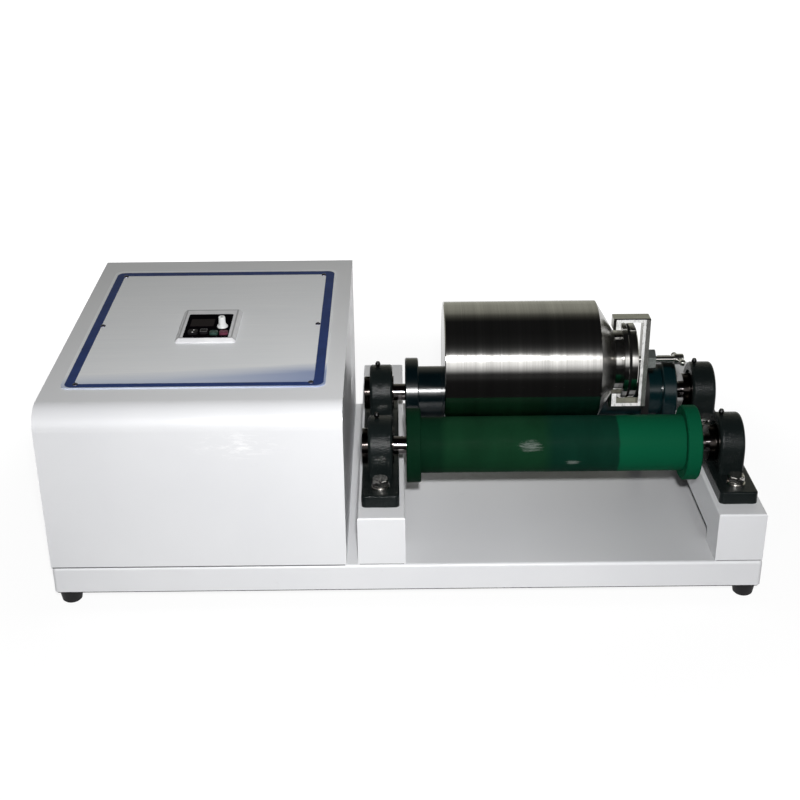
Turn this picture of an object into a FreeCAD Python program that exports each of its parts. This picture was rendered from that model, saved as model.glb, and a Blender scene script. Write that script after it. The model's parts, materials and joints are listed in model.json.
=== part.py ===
import FreeCAD, Part
import math
import os

os.makedirs("parts", exist_ok=True)
doc = FreeCAD.newDocument("roller_ball_mill")
V = FreeCAD.Vector

# Frame: X to the right, Y to the back, Z up; the floor is z = 0 and the part is centred on X and Y.

SIZES = [
    # whole machine
    ("overall_length", 750), ("base_depth", 404), ("base_height", 31), ("base_end_inset", 0.3),
    ("foot_height", 18), ("foot_top_radius", 13), ("foot_bottom_radius", 10.5), ("foot_edge", 1.5),
    ("foot_end_inset", 13), ("foot_side_inset", 18), ("foot_recess_radius", 6), ("foot_recess_depth", 9),
    ("foot_screw_radius", 2.5), ("foot_screw_head_radius", 4.5), ("foot_screw_head_height", 3.5),
    ("sheet", 1.5), ("match", 0.025), ("plate_inset", 1), ("tray_lip", 36), ("tray_corner", 4), ("tray_edge", 3.5),
    # cabinet
    ("cabinet_length", 311), ("cabinet_front_height", 181.5), ("cabinet_rise", 18.7),
    ("cabinet_bend", 24), ("cabinet_flange", 12), ("back_recess", 6),
    ("vent_width", 4), ("vent_pitch", 12), ("vent_row_gap", 10), ("vent_count", 9), ("vent_rows", 2),
    ("vent_back_inset", 42), ("vent_rise", 22.6), ("vent_top_gap", 1.5), ("back_vent_inset", 35),
    ("cabinet_screw_radius", 2), ("cabinet_screw_head_radius", 3.8), ("cabinet_screw_head_height", 2.2),
    ("cabinet_screw_length", 6), ("cabinet_screw_inset", 7.5),
    # control panel, measured along the sloping top from its front left corner
    ("panel_left", 18.5), ("panel_right_inset", 19), ("panel_front", 50.4), ("panel_back_inset", 33.4),
    ("panel_thickness", 1.2), ("panel_corner", 9), ("panel_screw_side_inset", 15), ("panel_screw_end_inset", 8.5),
    ("panel_screw_radius", 1.5), ("panel_screw_head_radius", 3), ("panel_screw_head_height", 1.6),
    ("panel_screw_length", 5), ("panel_screw_back_inset", 18.5),
    ("bezel_left", 121.5), ("bezel_right", 188.5), ("bezel_front", 157), ("bezel_back", 240.5),
    ("bezel_height", 5), ("bezel_bevel", 3.2), ("bezel_corner", 4),
    ("face_inset_side", 8.5), ("face_front_gap", 3.5), ("face_back_gap", 17), ("face_corner", 2.5),
    ("face_thickness", 1.2), ("face_proud", 0.4), ("box_side_inset", 3), ("box_depth", 62), ("box_wall", 2),
    ("display_left", 134.5), ("display_right", 160.8), ("display_front", 190), ("display_back", 209.3),
    ("display_thickness", 1.0), ("display_proud", 0.3),
    ("knob_x", 171.5), ("knob_y", 186), ("knob_skirt_radius", 6.3), ("knob_skirt_height", 3),
    ("knob_radius", 4.6), ("knob_height", 14), ("knob_taper", 0.5), ("knob_stem_radius", 3),
    ("knob_pointer_width", 1.2), ("knob_pointer_depth", 0.5),
    ("mode_key_x", 140.2), ("mode_key_y", 172.6), ("mode_key_length", 11), ("mode_key_width", 10),
    ("select_key_x", 152.2), ("select_key_y", 173.6), ("select_key_length", 9.4), ("select_key_width", 9.4),
    ("run_key_x", 163.6), ("stop_key_x", 174.5), ("run_key_y", 170.2), ("run_key_length", 9.6),
    ("run_key_width", 8.4), ("key_height", 2.6), ("key_stem", 6), ("key_corner", 3), ("key_clearance", 0.3),
    ("key_flange", 0.5), ("key_flange_thickness", 1), ("key_travel_gap", 0.2),
    # rear of the cabinet
    ("inlet_width", 28), ("inlet_height", 20), ("inlet_rim", 4), ("inlet_rim_thickness", 2.5),
    ("inlet_depth", 24), ("inlet_x", 60), ("inlet_z", 48), ("inlet_socket_depth", 16),
    ("inlet_socket_margin", 3), ("inlet_pin_length", 12), ("inlet_pin_width", 4), ("inlet_pin_thickness", 2),
    ("inlet_pin_pitch", 7), ("inlet_pin_drop", 2),
    ("switch_x", 108), ("switch_width", 20), ("switch_height", 27), ("switch_rim", 2), ("switch_bezel", 3),
    ("switch_depth", 20), ("rocker_length", 19), ("rocker_width", 13), ("rocker_pivot_depth", 1),
    ("rocker_pivot_radius", 1.5), ("rocker_rise", 2.6), ("rocker_skin", 4.4), ("rocker_gap", 0.5),
    ("rocker_pocket_depth", 14),
    # drive, under the tray top
    ("drive_axis_height", 33.5), ("drive_shaft_radius", 5), ("drive_shaft_left", 176), ("drive_shaft_tail", 12),
    ("motor_radius", 28), ("motor_left", 44), ("motor_length", 96), ("gearbox_length", 44),
    ("motor_axis_height", 50.5), ("motor_cap_radius", 22), ("motor_cap_length", 8), ("window_margin", 1.5),
    ("cradle_length", 20), ("cradle_half_width", 46), ("cradle_rise", 11), ("cradle_end_gap", 12),
    ("output_hub_radius", 9), ("output_hub_length", 7),
    ("drive_bearing_width", 14), ("drive_bearing_half_depth", 18), ("drive_bearing_first", 236),
    ("drive_bearing_belt_gap", 10), ("running_gap", 0.06),
    ("pulley_radius", 11), ("pulley_flange_radius", 12.6), ("pulley_flange", 1.5), ("belt_inset", 34.5),
    ("belt_width", 8), ("belt_thickness", 1.4), ("belt_gap", 0.25), ("belt_slot_half_depth", 21),
    ("belt_slot_margin", 3),
    # risers
    ("riser_width", 50), ("riser_height", 55.4), ("riser_sheet", 2), ("riser_front_inset", 1.8),
    ("left_riser_gap", 12.1), ("right_riser_inset", 0.6), ("riser_edge", 2), ("riser_relief_inset", 44),
    ("riser_relief_height", 15.5),
    # bearing blocks
    ("block_foot_width", 40), ("block_length", 138), ("block_foot_height", 13.5), ("block_axis_height", 36.5),
    ("block_ring_radius", 33), ("block_ring_width", 26.6), ("block_ring_edge", 3.6),
    ("block_toe", 4), ("block_bore_radius", 23.5), ("block_slot_width", 13),
    ("block_slot_length", 19), ("block_bolt_inset", 16.5), ("block_gap", 1), ("block_foot_corner", 5),
    ("block_foot_edge", 2), ("left_block_shift", -0.8), ("outer_ring_width", 17),
    ("inner_ring_radius", 19.5),
    ("ring_gap", 0.3), ("inner_ring_short", 14.6), ("left_ring_long", 19.8), ("right_ring_long", 22),
    ("ring_screw_radius", 2.5), ("ring_screw_depth", 3), ("ring_screw_setback", 4.5),
    ("nipple_radius", 3), ("nipple_height", 8.6), ("nipple_waist", 2), ("left_nipple_offset", 3.7),
    ("right_nipple_offset", 8.5),
    ("bolt_radius", 5), ("bolt_head_across_flats", 16), ("bolt_head_height", 6.4), ("bolt_tail", 12),
    ("washer_radius", 10), ("washer_thickness", 2), ("spring_washer_radius", 8.8),
    ("spring_washer_height", 2.2), ("nut_height", 8),
    # rollers
    ("front_roller_y", 97.5), ("roller_radius", 30.6), ("flange_radius", 40.8),
    ("roller_left_gap", 2.4), ("roller_right_gap", 8.9), ("flange_thickness", 15.5), ("flange_edge", 1.2),
    ("roller_core_radius", 24), ("shaft_radius", 10), ("shaft_stub", 0.5), ("shaft_chamfer", 0.8),
    # jar, its neck, flange, yoke and screw measured from the shoulder along the axis
    ("jar_radius", 67), ("jar_left_inset", 42), ("jar_shoulder_inset", 105), ("jar_wall", 4), ("jar_end_wall", 5),
    ("jar_gap", 0.3), ("neck_radius", 33.5), ("neck_start", 20.5), ("neck_bore_radius", 28),
    ("jar_flange_radius", 43), ("jar_flange_left", 27.6), ("jar_flange_right", 34.1), ("jar_edge", 1),
    ("gasket_thickness", 2.4), ("gasket_outer_radius", 40), ("lid_radius", 42), ("lid_thickness", 7.2),
    ("lid_plug_radius", 27.5), ("lid_plug_length", 5), ("lid_boss_radius", 12), ("lid_boss_height", 0.7),
    ("lid_edge", 1),
    ("yoke_hook", 8.4), ("yoke_right", 59.9), ("yoke_back", 8), ("yoke_arm", 4.8), ("yoke_width", 15),
    ("yoke_top_reach", 51.8), ("yoke_bottom_reach", 55), ("yoke_hook_reach", 38.5), ("yoke_edge", 1.2),
    ("yoke_hook_gap", 0.3), ("yoke_nut_across_flats", 20.6), ("yoke_nut_length", 8.3), ("yoke_nut_edge", 0.8),
    ("screw_radius", 3.8), ("screw_end", 89.5), ("screw_head_radius", 6), ("screw_head_length", 11),
    ("pad_radius", 11), ("pad_thickness", 3), ("pad_recess", 1.4), ("screw_tip_radius", 2.6),
    ("bar_radius", 2.8), ("bar_length", 46), ("bar_ball_radius", 3.6), ("bar_tilt_degrees", 12.5),
    ("ball_radius", 10), ("ball_gap", 0.25), ("ball_rows", 3), ("ball_first_gap", 1),
]

sheet = doc.addObject("Spreadsheet::Sheet", "Sizes")
for row, (alias, value) in enumerate(SIZES, start=1):
    sheet.set("A%d" % row, alias)
    sheet.set("B%d" % row, str(value))
    sheet.setAlias("B%d" % row, alias)
doc.recompute()


class Sizes:
    """Reads every size from the sheet by its name."""

    def __getattr__(self, name):
        return float(sheet.get(name))


s = Sizes()
made = []


def add(name, shape, placement=None):
    """One named sub-part: a document object with its own label, shape and placement."""
    if shape.ShapeType != "Solid" and len(shape.Solids) == 1:
        shape = shape.Solids[0]
    obj = doc.addObject("Part::Feature", name)
    obj.Label = name
    obj.Shape = shape
    if placement is not None:
        obj.Placement = placement
    made.append(obj)
    return obj


# Derived levels and positions.
LEFT = -s.overall_length / 2
FRONT = -s.base_depth / 2
BACK = s.base_depth / 2
PLATE_TOP = s.foot_height + s.sheet
TRAY_TOP = s.foot_height + s.base_height
TRAY_LEFT = LEFT + s.base_end_inset
RIGHT = LEFT + s.overall_length
CAB_RIGHT = LEFT + s.cabinet_length
RISER_TOP = TRAY_TOP + s.riser_height
AXIS_Z = RISER_TOP + s.block_axis_height
FRONT_Y = FRONT + s.front_roller_y
REAR_Y = FRONT_Y + s.block_length + s.block_gap
JAR_Y = (FRONT_Y + REAR_Y) / 2
HALF_SPACING = (REAR_Y - FRONT_Y) / 2
JAR_Z = AXIS_Z + math.sqrt((s.jar_radius + s.roller_radius + s.jar_gap) ** 2 - HALF_SPACING ** 2)
LEFT_RISER_X = CAB_RIGHT + s.left_riser_gap
RIGHT_RISER_X = RIGHT - s.right_riser_inset - s.riser_width
LEFT_BLOCK_X = LEFT_RISER_X + s.riser_width / 2 + s.left_block_shift
RIGHT_BLOCK_X = RIGHT_RISER_X + s.riser_width / 2
ROLLER_LEFT = LEFT_RISER_X + s.riser_width + s.roller_left_gap
ROLLER_RIGHT = RIGHT_RISER_X - s.roller_right_gap
JAR_LEFT = ROLLER_LEFT + s.jar_left_inset
SHOULDER = ROLLER_RIGHT - s.jar_shoulder_inset
BELT_X = ROLLER_RIGHT - s.belt_inset
BOLT_REACH = s.block_length / 2 - s.block_bolt_inset
BACK_HEIGHT = s.cabinet_front_height + s.cabinet_rise
PANEL_RIGHT = s.cabinet_length - s.panel_right_inset
PANEL_BACK = s.base_depth - s.panel_back_inset
VENT_FIRST_Z = RISER_TOP + s.vent_rise
VENT_ROW_PITCH = (TRAY_TOP + s.cabinet_front_height - s.vent_top_gap - VENT_FIRST_Z + s.vent_row_gap) / s.vent_rows
VENT_LENGTH = VENT_ROW_PITCH - s.vent_row_gap
VENT_SPAN = (s.vent_count - 1) * s.vent_pitch + s.vent_width
SLOPE = math.degrees(math.atan(s.cabinet_rise / s.base_depth))
FULL_TURN = 360
QUARTER_TURN = 90

# Shape helpers.


def box(x0, x1, y0, y1, z0, z1):
    return Part.makeBox(x1 - x0, y1 - y0, z1 - z0, V(x0, y0, z0))


def rod_x(x0, x1, y, z, radius):
    return Part.makeCylinder(radius, x1 - x0, V(x0, y, z), V(1, 0, 0))


def rod_z(x, y, z0, z1, radius):
    return Part.makeCylinder(radius, z1 - z0, V(x, y, z0), V(0, 0, 1))


def rod_y(x, z, y0, y1, radius):
    return Part.makeCylinder(radius, y1 - y0, V(x, y0, z), V(0, 1, 0))


def prism_x(points, x0, x1):
    """A prism along X over an outline of (y, z) points."""
    wire = Part.makePolygon([V(x0, y, z) for y, z in points + points[:1]])
    return Part.Face(wire).extrude(V(x1 - x0, 0, 0))


def turned_x(points, y, z):
    """A solid of revolution about an X line, from an outline of (x, radius) points."""
    wire = Part.makePolygon([V(x, y, z + radius) for x, radius in points + points[:1]])
    return Part.Face(wire).revolve(V(0, y, z), V(1, 0, 0), FULL_TURN)


def turned_z(points, x, y):
    """A solid of revolution about a Z line, from an outline of (radius, z) points."""
    wire = Part.makePolygon([V(x + radius, y, z) for radius, z in points + points[:1]])
    return Part.Face(wire).revolve(V(x, y, 0), V(0, 0, 1), FULL_TURN)


def turned_y(points, x, z):
    """A solid of revolution about a Y line, from an outline of (radius, y) points."""
    wire = Part.makePolygon([V(x + radius, y, z) for radius, y in points + points[:1]])
    return Part.Face(wire).revolve(V(x, 0, z), V(0, 1, 0), FULL_TURN)


def hexagon(centre, across_flats, height, axis, up):
    """A hexagonal prism along axis from centre; up is the direction of one corner."""
    corner = across_flats / math.sqrt(3)
    points = []
    for k in range(6):
        turn = FreeCAD.Rotation(axis, k * FULL_TURN / 6)
        points.append(centre + turn.multVec(up) * corner)
    return Part.Face(Part.makePolygon(points + points[:1])).extrude(axis * height)


def edges_along(shape, axis):
    """The straight edges of a shape that run along an axis."""
    chosen = []
    for edge in shape.Edges:
        if isinstance(edge.Curve, Part.Line):
            direction = (edge.Vertexes[-1].Point - edge.Vertexes[0].Point).normalize()
            if abs(direction.dot(axis)) > math.cos(math.radians(1)):
                chosen.append(edge)
    return chosen


def rounded_plate(x0, x1, y0, y1, z0, z1, corner):
    """A flat plate with rounded upright corners."""
    plate = box(x0, x1, y0, y1, z0, z1)
    return plate.makeFillet(corner, edges_along(plate, V(0, 0, 1)))


def edges_at_z(shape, level):
    """The edges that lie wholly at one height."""
    near = s.match
    return [e for e in shape.Edges if all(abs(v.Point.z - level) < near for v in e.Vertexes)
            and abs(e.BoundBox.ZMax - level) < near and abs(e.BoundBox.ZMin - level) < near]


def fuse(shapes):
    whole = shapes[0]
    for shape in shapes[1:]:
        whole = whole.fuse(shape)
    return whole.removeSplitter()


def cut(shape, tools):
    for tool in tools:
        shape = shape.cut(tool)
    return shape


def several(shapes):
    """A group of separate solids as one node."""
    return Part.makeCompound(shapes)


# Base.


def foot_places():
    xs = (TRAY_LEFT + s.foot_end_inset, RIGHT - s.foot_end_inset)
    ys = (FRONT + s.foot_side_inset, BACK - s.foot_side_inset)
    return [(x, y) for x in xs for y in ys]


def make_base_tray():
    x0, x1, z0, z1 = TRAY_LEFT, RIGHT, PLATE_TOP, TRAY_TOP
    outer = rounded_plate(x0, x1, FRONT, BACK, z0, z1, s.tray_corner)
    outer = outer.makeFillet(s.tray_edge, edges_at_z(outer, z1))
    t = s.sheet
    inner = rounded_plate(x0 + t, x1 - t, FRONT + t, BACK - t, z0 + t, z1 - t, s.tray_corner - t)
    inner = inner.makeFillet(s.tray_edge - t, edges_at_z(inner, z1 - t))
    lip_hole = rounded_plate(x0 + s.tray_lip, x1 - s.tray_lip, FRONT + s.tray_lip, BACK - s.tray_lip,
                             z0 - t, z0 + 2 * t, s.tray_corner)
    half_window = s.motor_radius + s.window_margin
    motor_end = LEFT + s.motor_left + s.motor_length + s.gearbox_length
    window = box(LEFT + s.motor_left - s.motor_cap_length - s.window_margin,
                 motor_end + s.output_hub_length + s.window_margin,
                 REAR_Y - half_window, REAR_Y + half_window, z1 - 2 * t, z1 + t)
    belt_x = BELT_X
    reach = s.belt_width / 2 + s.belt_slot_margin
    slot = box(belt_x - reach, belt_x + reach, REAR_Y - s.belt_slot_half_depth,
               REAR_Y + s.belt_slot_half_depth, z1 - 2 * t, z1 + t)
    holes = [rod_z(x, y, z0 - t, z0 + 2 * t, s.foot_screw_radius) for x, y in foot_places()]
    return cut(outer, [inner, lip_hole, window, slot] + holes)


def make_bottom_plate():
    i = s.plate_inset
    plate = rounded_plate(TRAY_LEFT + i, RIGHT - i, FRONT + i, BACK - i, s.foot_height, PLATE_TOP, s.tray_corner)
    return cut(plate, [rod_z(x, y, 0, TRAY_TOP, s.foot_screw_radius) for x, y in foot_places()])


def make_feet():
    feet = []
    for x, y in foot_places():
        h, r0, r1, e = s.foot_height, s.foot_bottom_radius, s.foot_top_radius, s.foot_edge
        body = turned_z([(0, 0), (r0 - e, 0), (r0, e), (r1, h - e), (r1, h), (0, h)], x, y)
        recess = rod_z(x, y, -e, s.foot_recess_depth, s.foot_recess_radius)
        bore = rod_z(x, y, -e, h + e, s.foot_screw_radius)
        feet.append(cut(body, [recess, bore]))
    return several(feet)


def make_foot_screws():
    screws = []
    for x, y in foot_places():
        z0 = s.foot_recess_depth - s.foot_screw_head_height
        head = rod_z(x, y, z0, s.foot_recess_depth, s.foot_screw_head_radius)
        shank = rod_z(x, y, s.foot_recess_depth, PLATE_TOP + 2 * s.sheet, s.foot_screw_radius)
        screws.append(fuse([head, shank]))
    return several(screws)


# Cabinet.


def cabinet_outline(offset):
    """The side outline of the cabinet as a face at x = 0, taken in by offset on the front, top and back."""
    tilt = math.radians(SLOPE)
    y0 = FRONT + offset
    drop = offset / math.cos(tilt)
    front_z = TRAY_TOP + s.cabinet_front_height - drop + offset * math.tan(tilt)
    back_z = TRAY_TOP + BACK_HEIGHT - drop
    points = [V(0, y0, TRAY_TOP), V(0, y0, front_z), V(0, BACK, back_z), V(0, BACK, TRAY_TOP)]
    return Part.Face(Part.makePolygon(points + points[:1]))


def cabinet_block(offset, x0, x1):
    """The cabinet's solid envelope between two X levels, with the bent front top edge rounded."""
    solid = cabinet_outline(offset).extrude(V(x1 - x0, 0, 0))
    solid.translate(V(x0, 0, 0))
    y0 = FRONT + offset
    top = [e for e in edges_along(solid, V(1, 0, 0))
           if abs(e.Vertexes[0].Point.y - y0) < s.belt_gap and e.Vertexes[0].Point.z > TRAY_TOP + s.riser_width]
    return solid.makeFillet(s.cabinet_bend - offset, top)


def on_top(x, y, rise=0):
    """A world point on the sloping top, from its place along the panel."""
    tilt = math.radians(SLOPE)
    return V(LEFT + x, FRONT + y * math.cos(tilt) - rise * math.sin(tilt),
             TRAY_TOP + s.cabinet_front_height + y * math.sin(tilt) + rise * math.cos(tilt))


TOP_PLACE = FreeCAD.Placement(on_top(0, 0), FreeCAD.Rotation(V(1, 0, 0), SLOPE))


def box_outline(margin):
    """The controller box's edges along the sloping top, with a margin all round."""
    i = s.box_side_inset - margin
    return s.bezel_left + i, s.bezel_right - i, s.bezel_front + i, s.bezel_back - i


def make_cabinet_cover():
    shell = cabinet_block(0, LEFT, CAB_RIGHT)
    inside = cabinet_block(s.sheet, LEFT - s.sheet, CAB_RIGHT + s.sheet)
    below = box(LEFT - s.sheet, CAB_RIGHT + s.sheet, BACK - s.sheet, BACK + s.sheet,
                TRAY_TOP - s.sheet, TRAY_TOP + BACK_HEIGHT - s.cabinet_flange)
    x0, x1, y0, y1 = box_outline(0)
    opening = box(x0, x1, y0, y1, -s.box_depth, s.bezel_height)
    opening.Placement = TOP_PLACE
    drilled = [panel_screw_bore(x, y) for x, y in panel_screw_places()]
    return cut(shell, [inside, below, opening] + drilled)


def make_side(x0, x1, inward):
    """A side panel with a flange at its back and at its foot."""
    panel = cabinet_block(s.sheet, x0, x1)
    y_end = BACK - s.back_recess
    far = box(x0 - s.sheet, x1 + s.sheet, BACK - s.sheet, BACK + s.sheet, 0, 2 * TRAY_TOP + BACK_HEIGHT)
    panel = panel.cut(far)
    edge = x1 if inward > 0 else x0
    fx0, fx1 = sorted((edge, edge + inward * s.cabinet_flange))
    yb = y_end - 2 * s.sheet
    tall = TRAY_TOP + BACK_HEIGHT - s.cabinet_bend
    back_flange = box(fx0, fx1, yb, yb + s.sheet, TRAY_TOP, tall)
    foot_flange = box(fx0, fx1, FRONT + s.cabinet_flange, yb, TRAY_TOP, TRAY_TOP + s.sheet)
    return fuse([panel, back_flange, foot_flange]).cut(several(cabinet_screw_bores()))


def make_left_side():
    return make_side(LEFT, LEFT + s.sheet, 1)


def make_right_side():
    side = make_side(CAB_RIGHT - s.sheet, CAB_RIGHT, -1)
    slots = []
    for row in range(int(s.vent_rows)):
        for k in range(int(s.vent_count)):
            y = BACK - s.vent_back_inset - VENT_SPAN + k * s.vent_pitch
            z = VENT_FIRST_Z + row * VENT_ROW_PITCH
            slots.append(box(CAB_RIGHT - 2 * s.sheet, CAB_RIGHT + s.sheet, y, y + s.vent_width,
                             z, z + VENT_LENGTH))
    return cut(side, slots)


def cabinet_screw_places():
    xs = (LEFT + s.cabinet_screw_inset, CAB_RIGHT - s.cabinet_screw_inset)
    z_top = TRAY_TOP + BACK_HEIGHT - 2 * s.cabinet_bend
    zs = (TRAY_TOP + 2 * s.cabinet_flange, (TRAY_TOP + z_top) / 2 + s.cabinet_flange, z_top)
    return [(x, z) for x in xs for z in zs]


def cabinet_screw_bores():
    y1 = BACK - s.back_recess
    return [rod_y(x, z, y1 - s.cabinet_screw_length, y1 + s.sheet, s.cabinet_screw_radius)
            for x, z in cabinet_screw_places()]


def make_cabinet_screws():
    screws = []
    y1 = BACK - s.back_recess
    for x, z in cabinet_screw_places():
        r, h = s.cabinet_screw_head_radius, s.cabinet_screw_head_height
        outline = [(0, y1 - s.cabinet_screw_length), (s.cabinet_screw_radius, y1 - s.cabinet_screw_length),
                   (s.cabinet_screw_radius, y1), (r, y1), (r, y1 + h / 2), (r * 2 / 3, y1 + h), (0, y1 + h)]
        screws.append(turned_y(outline, x, z))
    return several(screws)


def inlet_centre():
    return LEFT + s.inlet_x, TRAY_TOP + s.inlet_z


def switch_centre():
    return LEFT + s.switch_x, TRAY_TOP + s.inlet_z


def make_back_panel():
    y1 = BACK - s.back_recess
    panel = box(LEFT + s.sheet, CAB_RIGHT - s.sheet, y1 - s.sheet, y1, TRAY_TOP,
                TRAY_TOP + BACK_HEIGHT - 2 * s.sheet)
    panel = panel.common(cabinet_block(s.sheet, LEFT, CAB_RIGHT))
    x, z = inlet_centre()
    w, h = s.inlet_width / 2, s.inlet_height / 2
    inlet_hole = box(x - w, x + w, y1 - 2 * s.sheet, y1 + s.sheet, z - h, z + h)
    x, z = switch_centre()
    w, h = s.switch_width / 2, s.switch_height / 2
    switch_hole = box(x - w, x + w, y1 - 2 * s.sheet, y1 + s.sheet, z - h, z + h)
    vents = []
    for row in range(int(s.vent_rows)):
        for k in range(int(s.vent_count)):
            vx = CAB_RIGHT - s.back_vent_inset - VENT_SPAN + k * s.vent_pitch
            vz = TRAY_TOP + VENT_ROW_PITCH / 2 + row * VENT_ROW_PITCH
            vents.append(box(vx, vx + s.vent_width, y1 - 2 * s.sheet, y1 + s.sheet, vz, vz + VENT_LENGTH))
    return cut(panel, [inlet_hole, switch_hole] + vents + cabinet_screw_bores())


def make_power_inlet():
    y1 = BACK - s.back_recess
    x, z = inlet_centre()
    w, h = s.inlet_width / 2, s.inlet_height / 2
    rim = box(x - w - s.inlet_rim, x + w + s.inlet_rim, y1, y1 + s.inlet_rim_thickness,
              z - h - s.inlet_rim, z + h + s.inlet_rim)
    rim = rim.makeFillet(s.inlet_rim / 2, edges_along(rim, V(0, 1, 0)))
    body = box(x - w, x + w, y1 - s.inlet_depth, y1, z - h, z + h)
    m = s.inlet_socket_margin
    socket = box(x - w + m, x + w - m, y1 - s.inlet_socket_depth, y1 + s.inlet_depth, z - h + m, z + h - m)
    shell = fuse([rim, body]).cut(socket)
    pins = []
    for k in (-1, 0, 1):
        px = x + k * s.inlet_pin_pitch
        pz = z - s.inlet_pin_drop if k == 0 else z + s.inlet_pin_drop
        y0 = y1 - s.inlet_socket_depth
        pins.append(box(px - s.inlet_pin_thickness / 2, px + s.inlet_pin_thickness / 2, y0,
                        y0 + s.inlet_pin_length, pz - s.inlet_pin_width / 2, pz + s.inlet_pin_width / 2))
    return fuse([shell] + pins)


def make_switch_frame():
    y1 = BACK - s.back_recess
    x, z = switch_centre()
    w, h, b = s.switch_width / 2, s.switch_height / 2, s.switch_bezel
    rim = box(x - w - s.switch_rim, x + w + s.switch_rim, y1, y1 + s.switch_rim, z - h - s.switch_rim,
              z + h + s.switch_rim)
    body = box(x - w, x + w, y1 - s.switch_depth, y1, z - h, z + h)
    pocket = box(x - w + b, x + w - b, y1 - s.rocker_pocket_depth, y1 + 2 * s.switch_rim, z - h + b, z + h - b)
    pin = rod_x(x - w + b / 2, x + w - b / 2, y1 - s.rocker_pivot_depth, z, s.rocker_pivot_radius)
    return fuse([fuse([rim, body]).cut(pocket), pin])


def make_rocker():
    """The rocker at rest on its lower side, so its upper side stands out."""
    y1 = BACK - s.back_recess
    x, z = switch_centre()
    w = s.rocker_width / 2
    h = s.rocker_length / 2 - s.rocker_gap
    pivot_y = y1 - s.rocker_pivot_depth
    outer = y1 + s.switch_rim + s.rocker_rise / 4
    skin = s.rocker_skin
    upper = outer + s.rocker_rise
    points = [(outer, z - h), (outer, z), (upper, z + h), (upper - skin, z + h * 5 / 6),
              (pivot_y - skin, z + skin), (pivot_y - skin, z - skin), (outer - skin, z - h * 5 / 6)]
    body = prism_x(points, x - w, x + w)
    bore = rod_x(x - 2 * w, x + 2 * w, pivot_y, z, s.rocker_pivot_radius + s.running_gap)
    return body.cut(bore)


# Control panel, drawn flat and then laid on the sloping top.


def panel_screw_places():
    x0, x1 = s.panel_left + s.panel_screw_side_inset, PANEL_RIGHT - s.panel_screw_side_inset
    y0, y1 = s.panel_front + s.panel_screw_end_inset, PANEL_BACK - s.panel_screw_back_inset
    return [(x, y) for x in (x0, x1) for y in (y0, (y0 + y1) / 2, y1)]


def panel_screw_bore(x, y):
    bore = rod_z(x, y, -s.panel_screw_length, s.bezel_height, s.panel_screw_radius)
    bore.Placement = TOP_PLACE.multiply(bore.Placement)
    return bore


def make_control_panel():
    plate = rounded_plate(s.panel_left, PANEL_RIGHT, s.panel_front, PANEL_BACK, 0, s.panel_thickness,
                          s.panel_corner)
    x0, x1, y0, y1 = box_outline(0)
    opening = box(x0, x1, y0, y1, -s.sheet, s.bezel_height)
    bores = [rod_z(x, y, -s.sheet, s.bezel_height, s.panel_screw_radius) for x, y in panel_screw_places()]
    return cut(plate, [opening] + bores)


def make_panel_screws():
    screws = []
    t, r, h = s.panel_thickness, s.panel_screw_head_radius, s.panel_screw_head_height
    for x, y in panel_screw_places():
        outline = [(0, t - s.panel_screw_length), (s.panel_screw_radius, t - s.panel_screw_length),
                   (s.panel_screw_radius, t), (r, t), (r * 9 / 10, t + h / 2), (r / 2, t + h), (0, t + h)]
        screws.append(turned_z(outline, x, y))
    return several(screws)


def face_outline():
    return (s.bezel_left + s.face_inset_side, s.bezel_right - s.face_inset_side,
            s.bezel_front + s.face_front_gap, s.bezel_back - s.face_back_gap)


def face_top():
    return s.panel_thickness + s.bezel_height + s.face_proud


def make_bezel():
    t, h, b = s.panel_thickness, s.bezel_height, s.bezel_bevel
    plate = rounded_plate(s.bezel_left, s.bezel_right, s.bezel_front, s.bezel_back, t, t + h, s.bezel_corner)
    plate = plate.makeChamfer(b, edges_at_z(plate, t + h))
    x0, x1, y0, y1 = face_outline()
    pocket = rounded_plate(x0, x1, y0, y1, face_top() - s.face_thickness, t + 2 * h, s.face_corner)
    m = s.key_clearance
    wells = [rod_z(s.knob_x, s.knob_y, 0, t + 2 * h, s.knob_stem_radius + m)]
    for x, y, length, width in key_places():
        reach = s.key_flange + m
        wells.append(box(x - length / 2 - reach, x + length / 2 + reach, y - width / 2 - reach,
                         y + width / 2 + reach, 0, t + 2 * h))
    return cut(plate, [pocket] + wells)


def key_places():
    return [(s.mode_key_x, s.mode_key_y, s.mode_key_length, s.mode_key_width),
            (s.select_key_x, s.select_key_y, s.select_key_length, s.select_key_width),
            (s.run_key_x, s.run_key_y, s.run_key_length, s.run_key_width),
            (s.stop_key_x, s.run_key_y, s.run_key_length, s.run_key_width)]


def make_face():
    x0, x1, y0, y1 = face_outline()
    top = face_top()
    face = rounded_plate(x0, x1, y0, y1, top - s.face_thickness, top, s.face_corner)
    m = s.key_clearance
    holes = [rod_z(s.knob_x, s.knob_y, 0, 2 * top, s.knob_stem_radius + m)]
    for x, y, length, width in key_places():
        holes.append(rounded_plate(x - length / 2 - m, x + length / 2 + m, y - width / 2 - m,
                                   y + width / 2 + m, 0, 2 * top, s.key_corner + m))
    holes.append(box(s.display_left, s.display_right, s.display_front, s.display_back,
                     top + s.display_proud - s.display_thickness, 2 * top))
    return cut(face, holes)


def make_display():
    top = face_top() + s.display_proud
    return box(s.display_left, s.display_right, s.display_front, s.display_back, top - s.display_thickness, top)


def make_controller_box():
    x0, x1, y0, y1 = box_outline(0)
    t = s.panel_thickness
    floor = t + s.bezel_height - s.face_thickness - s.key_stem
    outer = box(x0, x1, y0, y1, t - s.box_depth, t)
    w = s.box_wall
    inner = box(x0 + w, x1 - w, y0 + w, y1 - w, t - s.box_depth + w, floor - w)
    hole = box(x0 + w, x1 - w, y0 + w, y1 - w, floor, 2 * t)
    return cut(outer, [inner, hole])


def key_floor():
    return s.panel_thickness + s.bezel_height - s.face_thickness - s.key_stem


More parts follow.
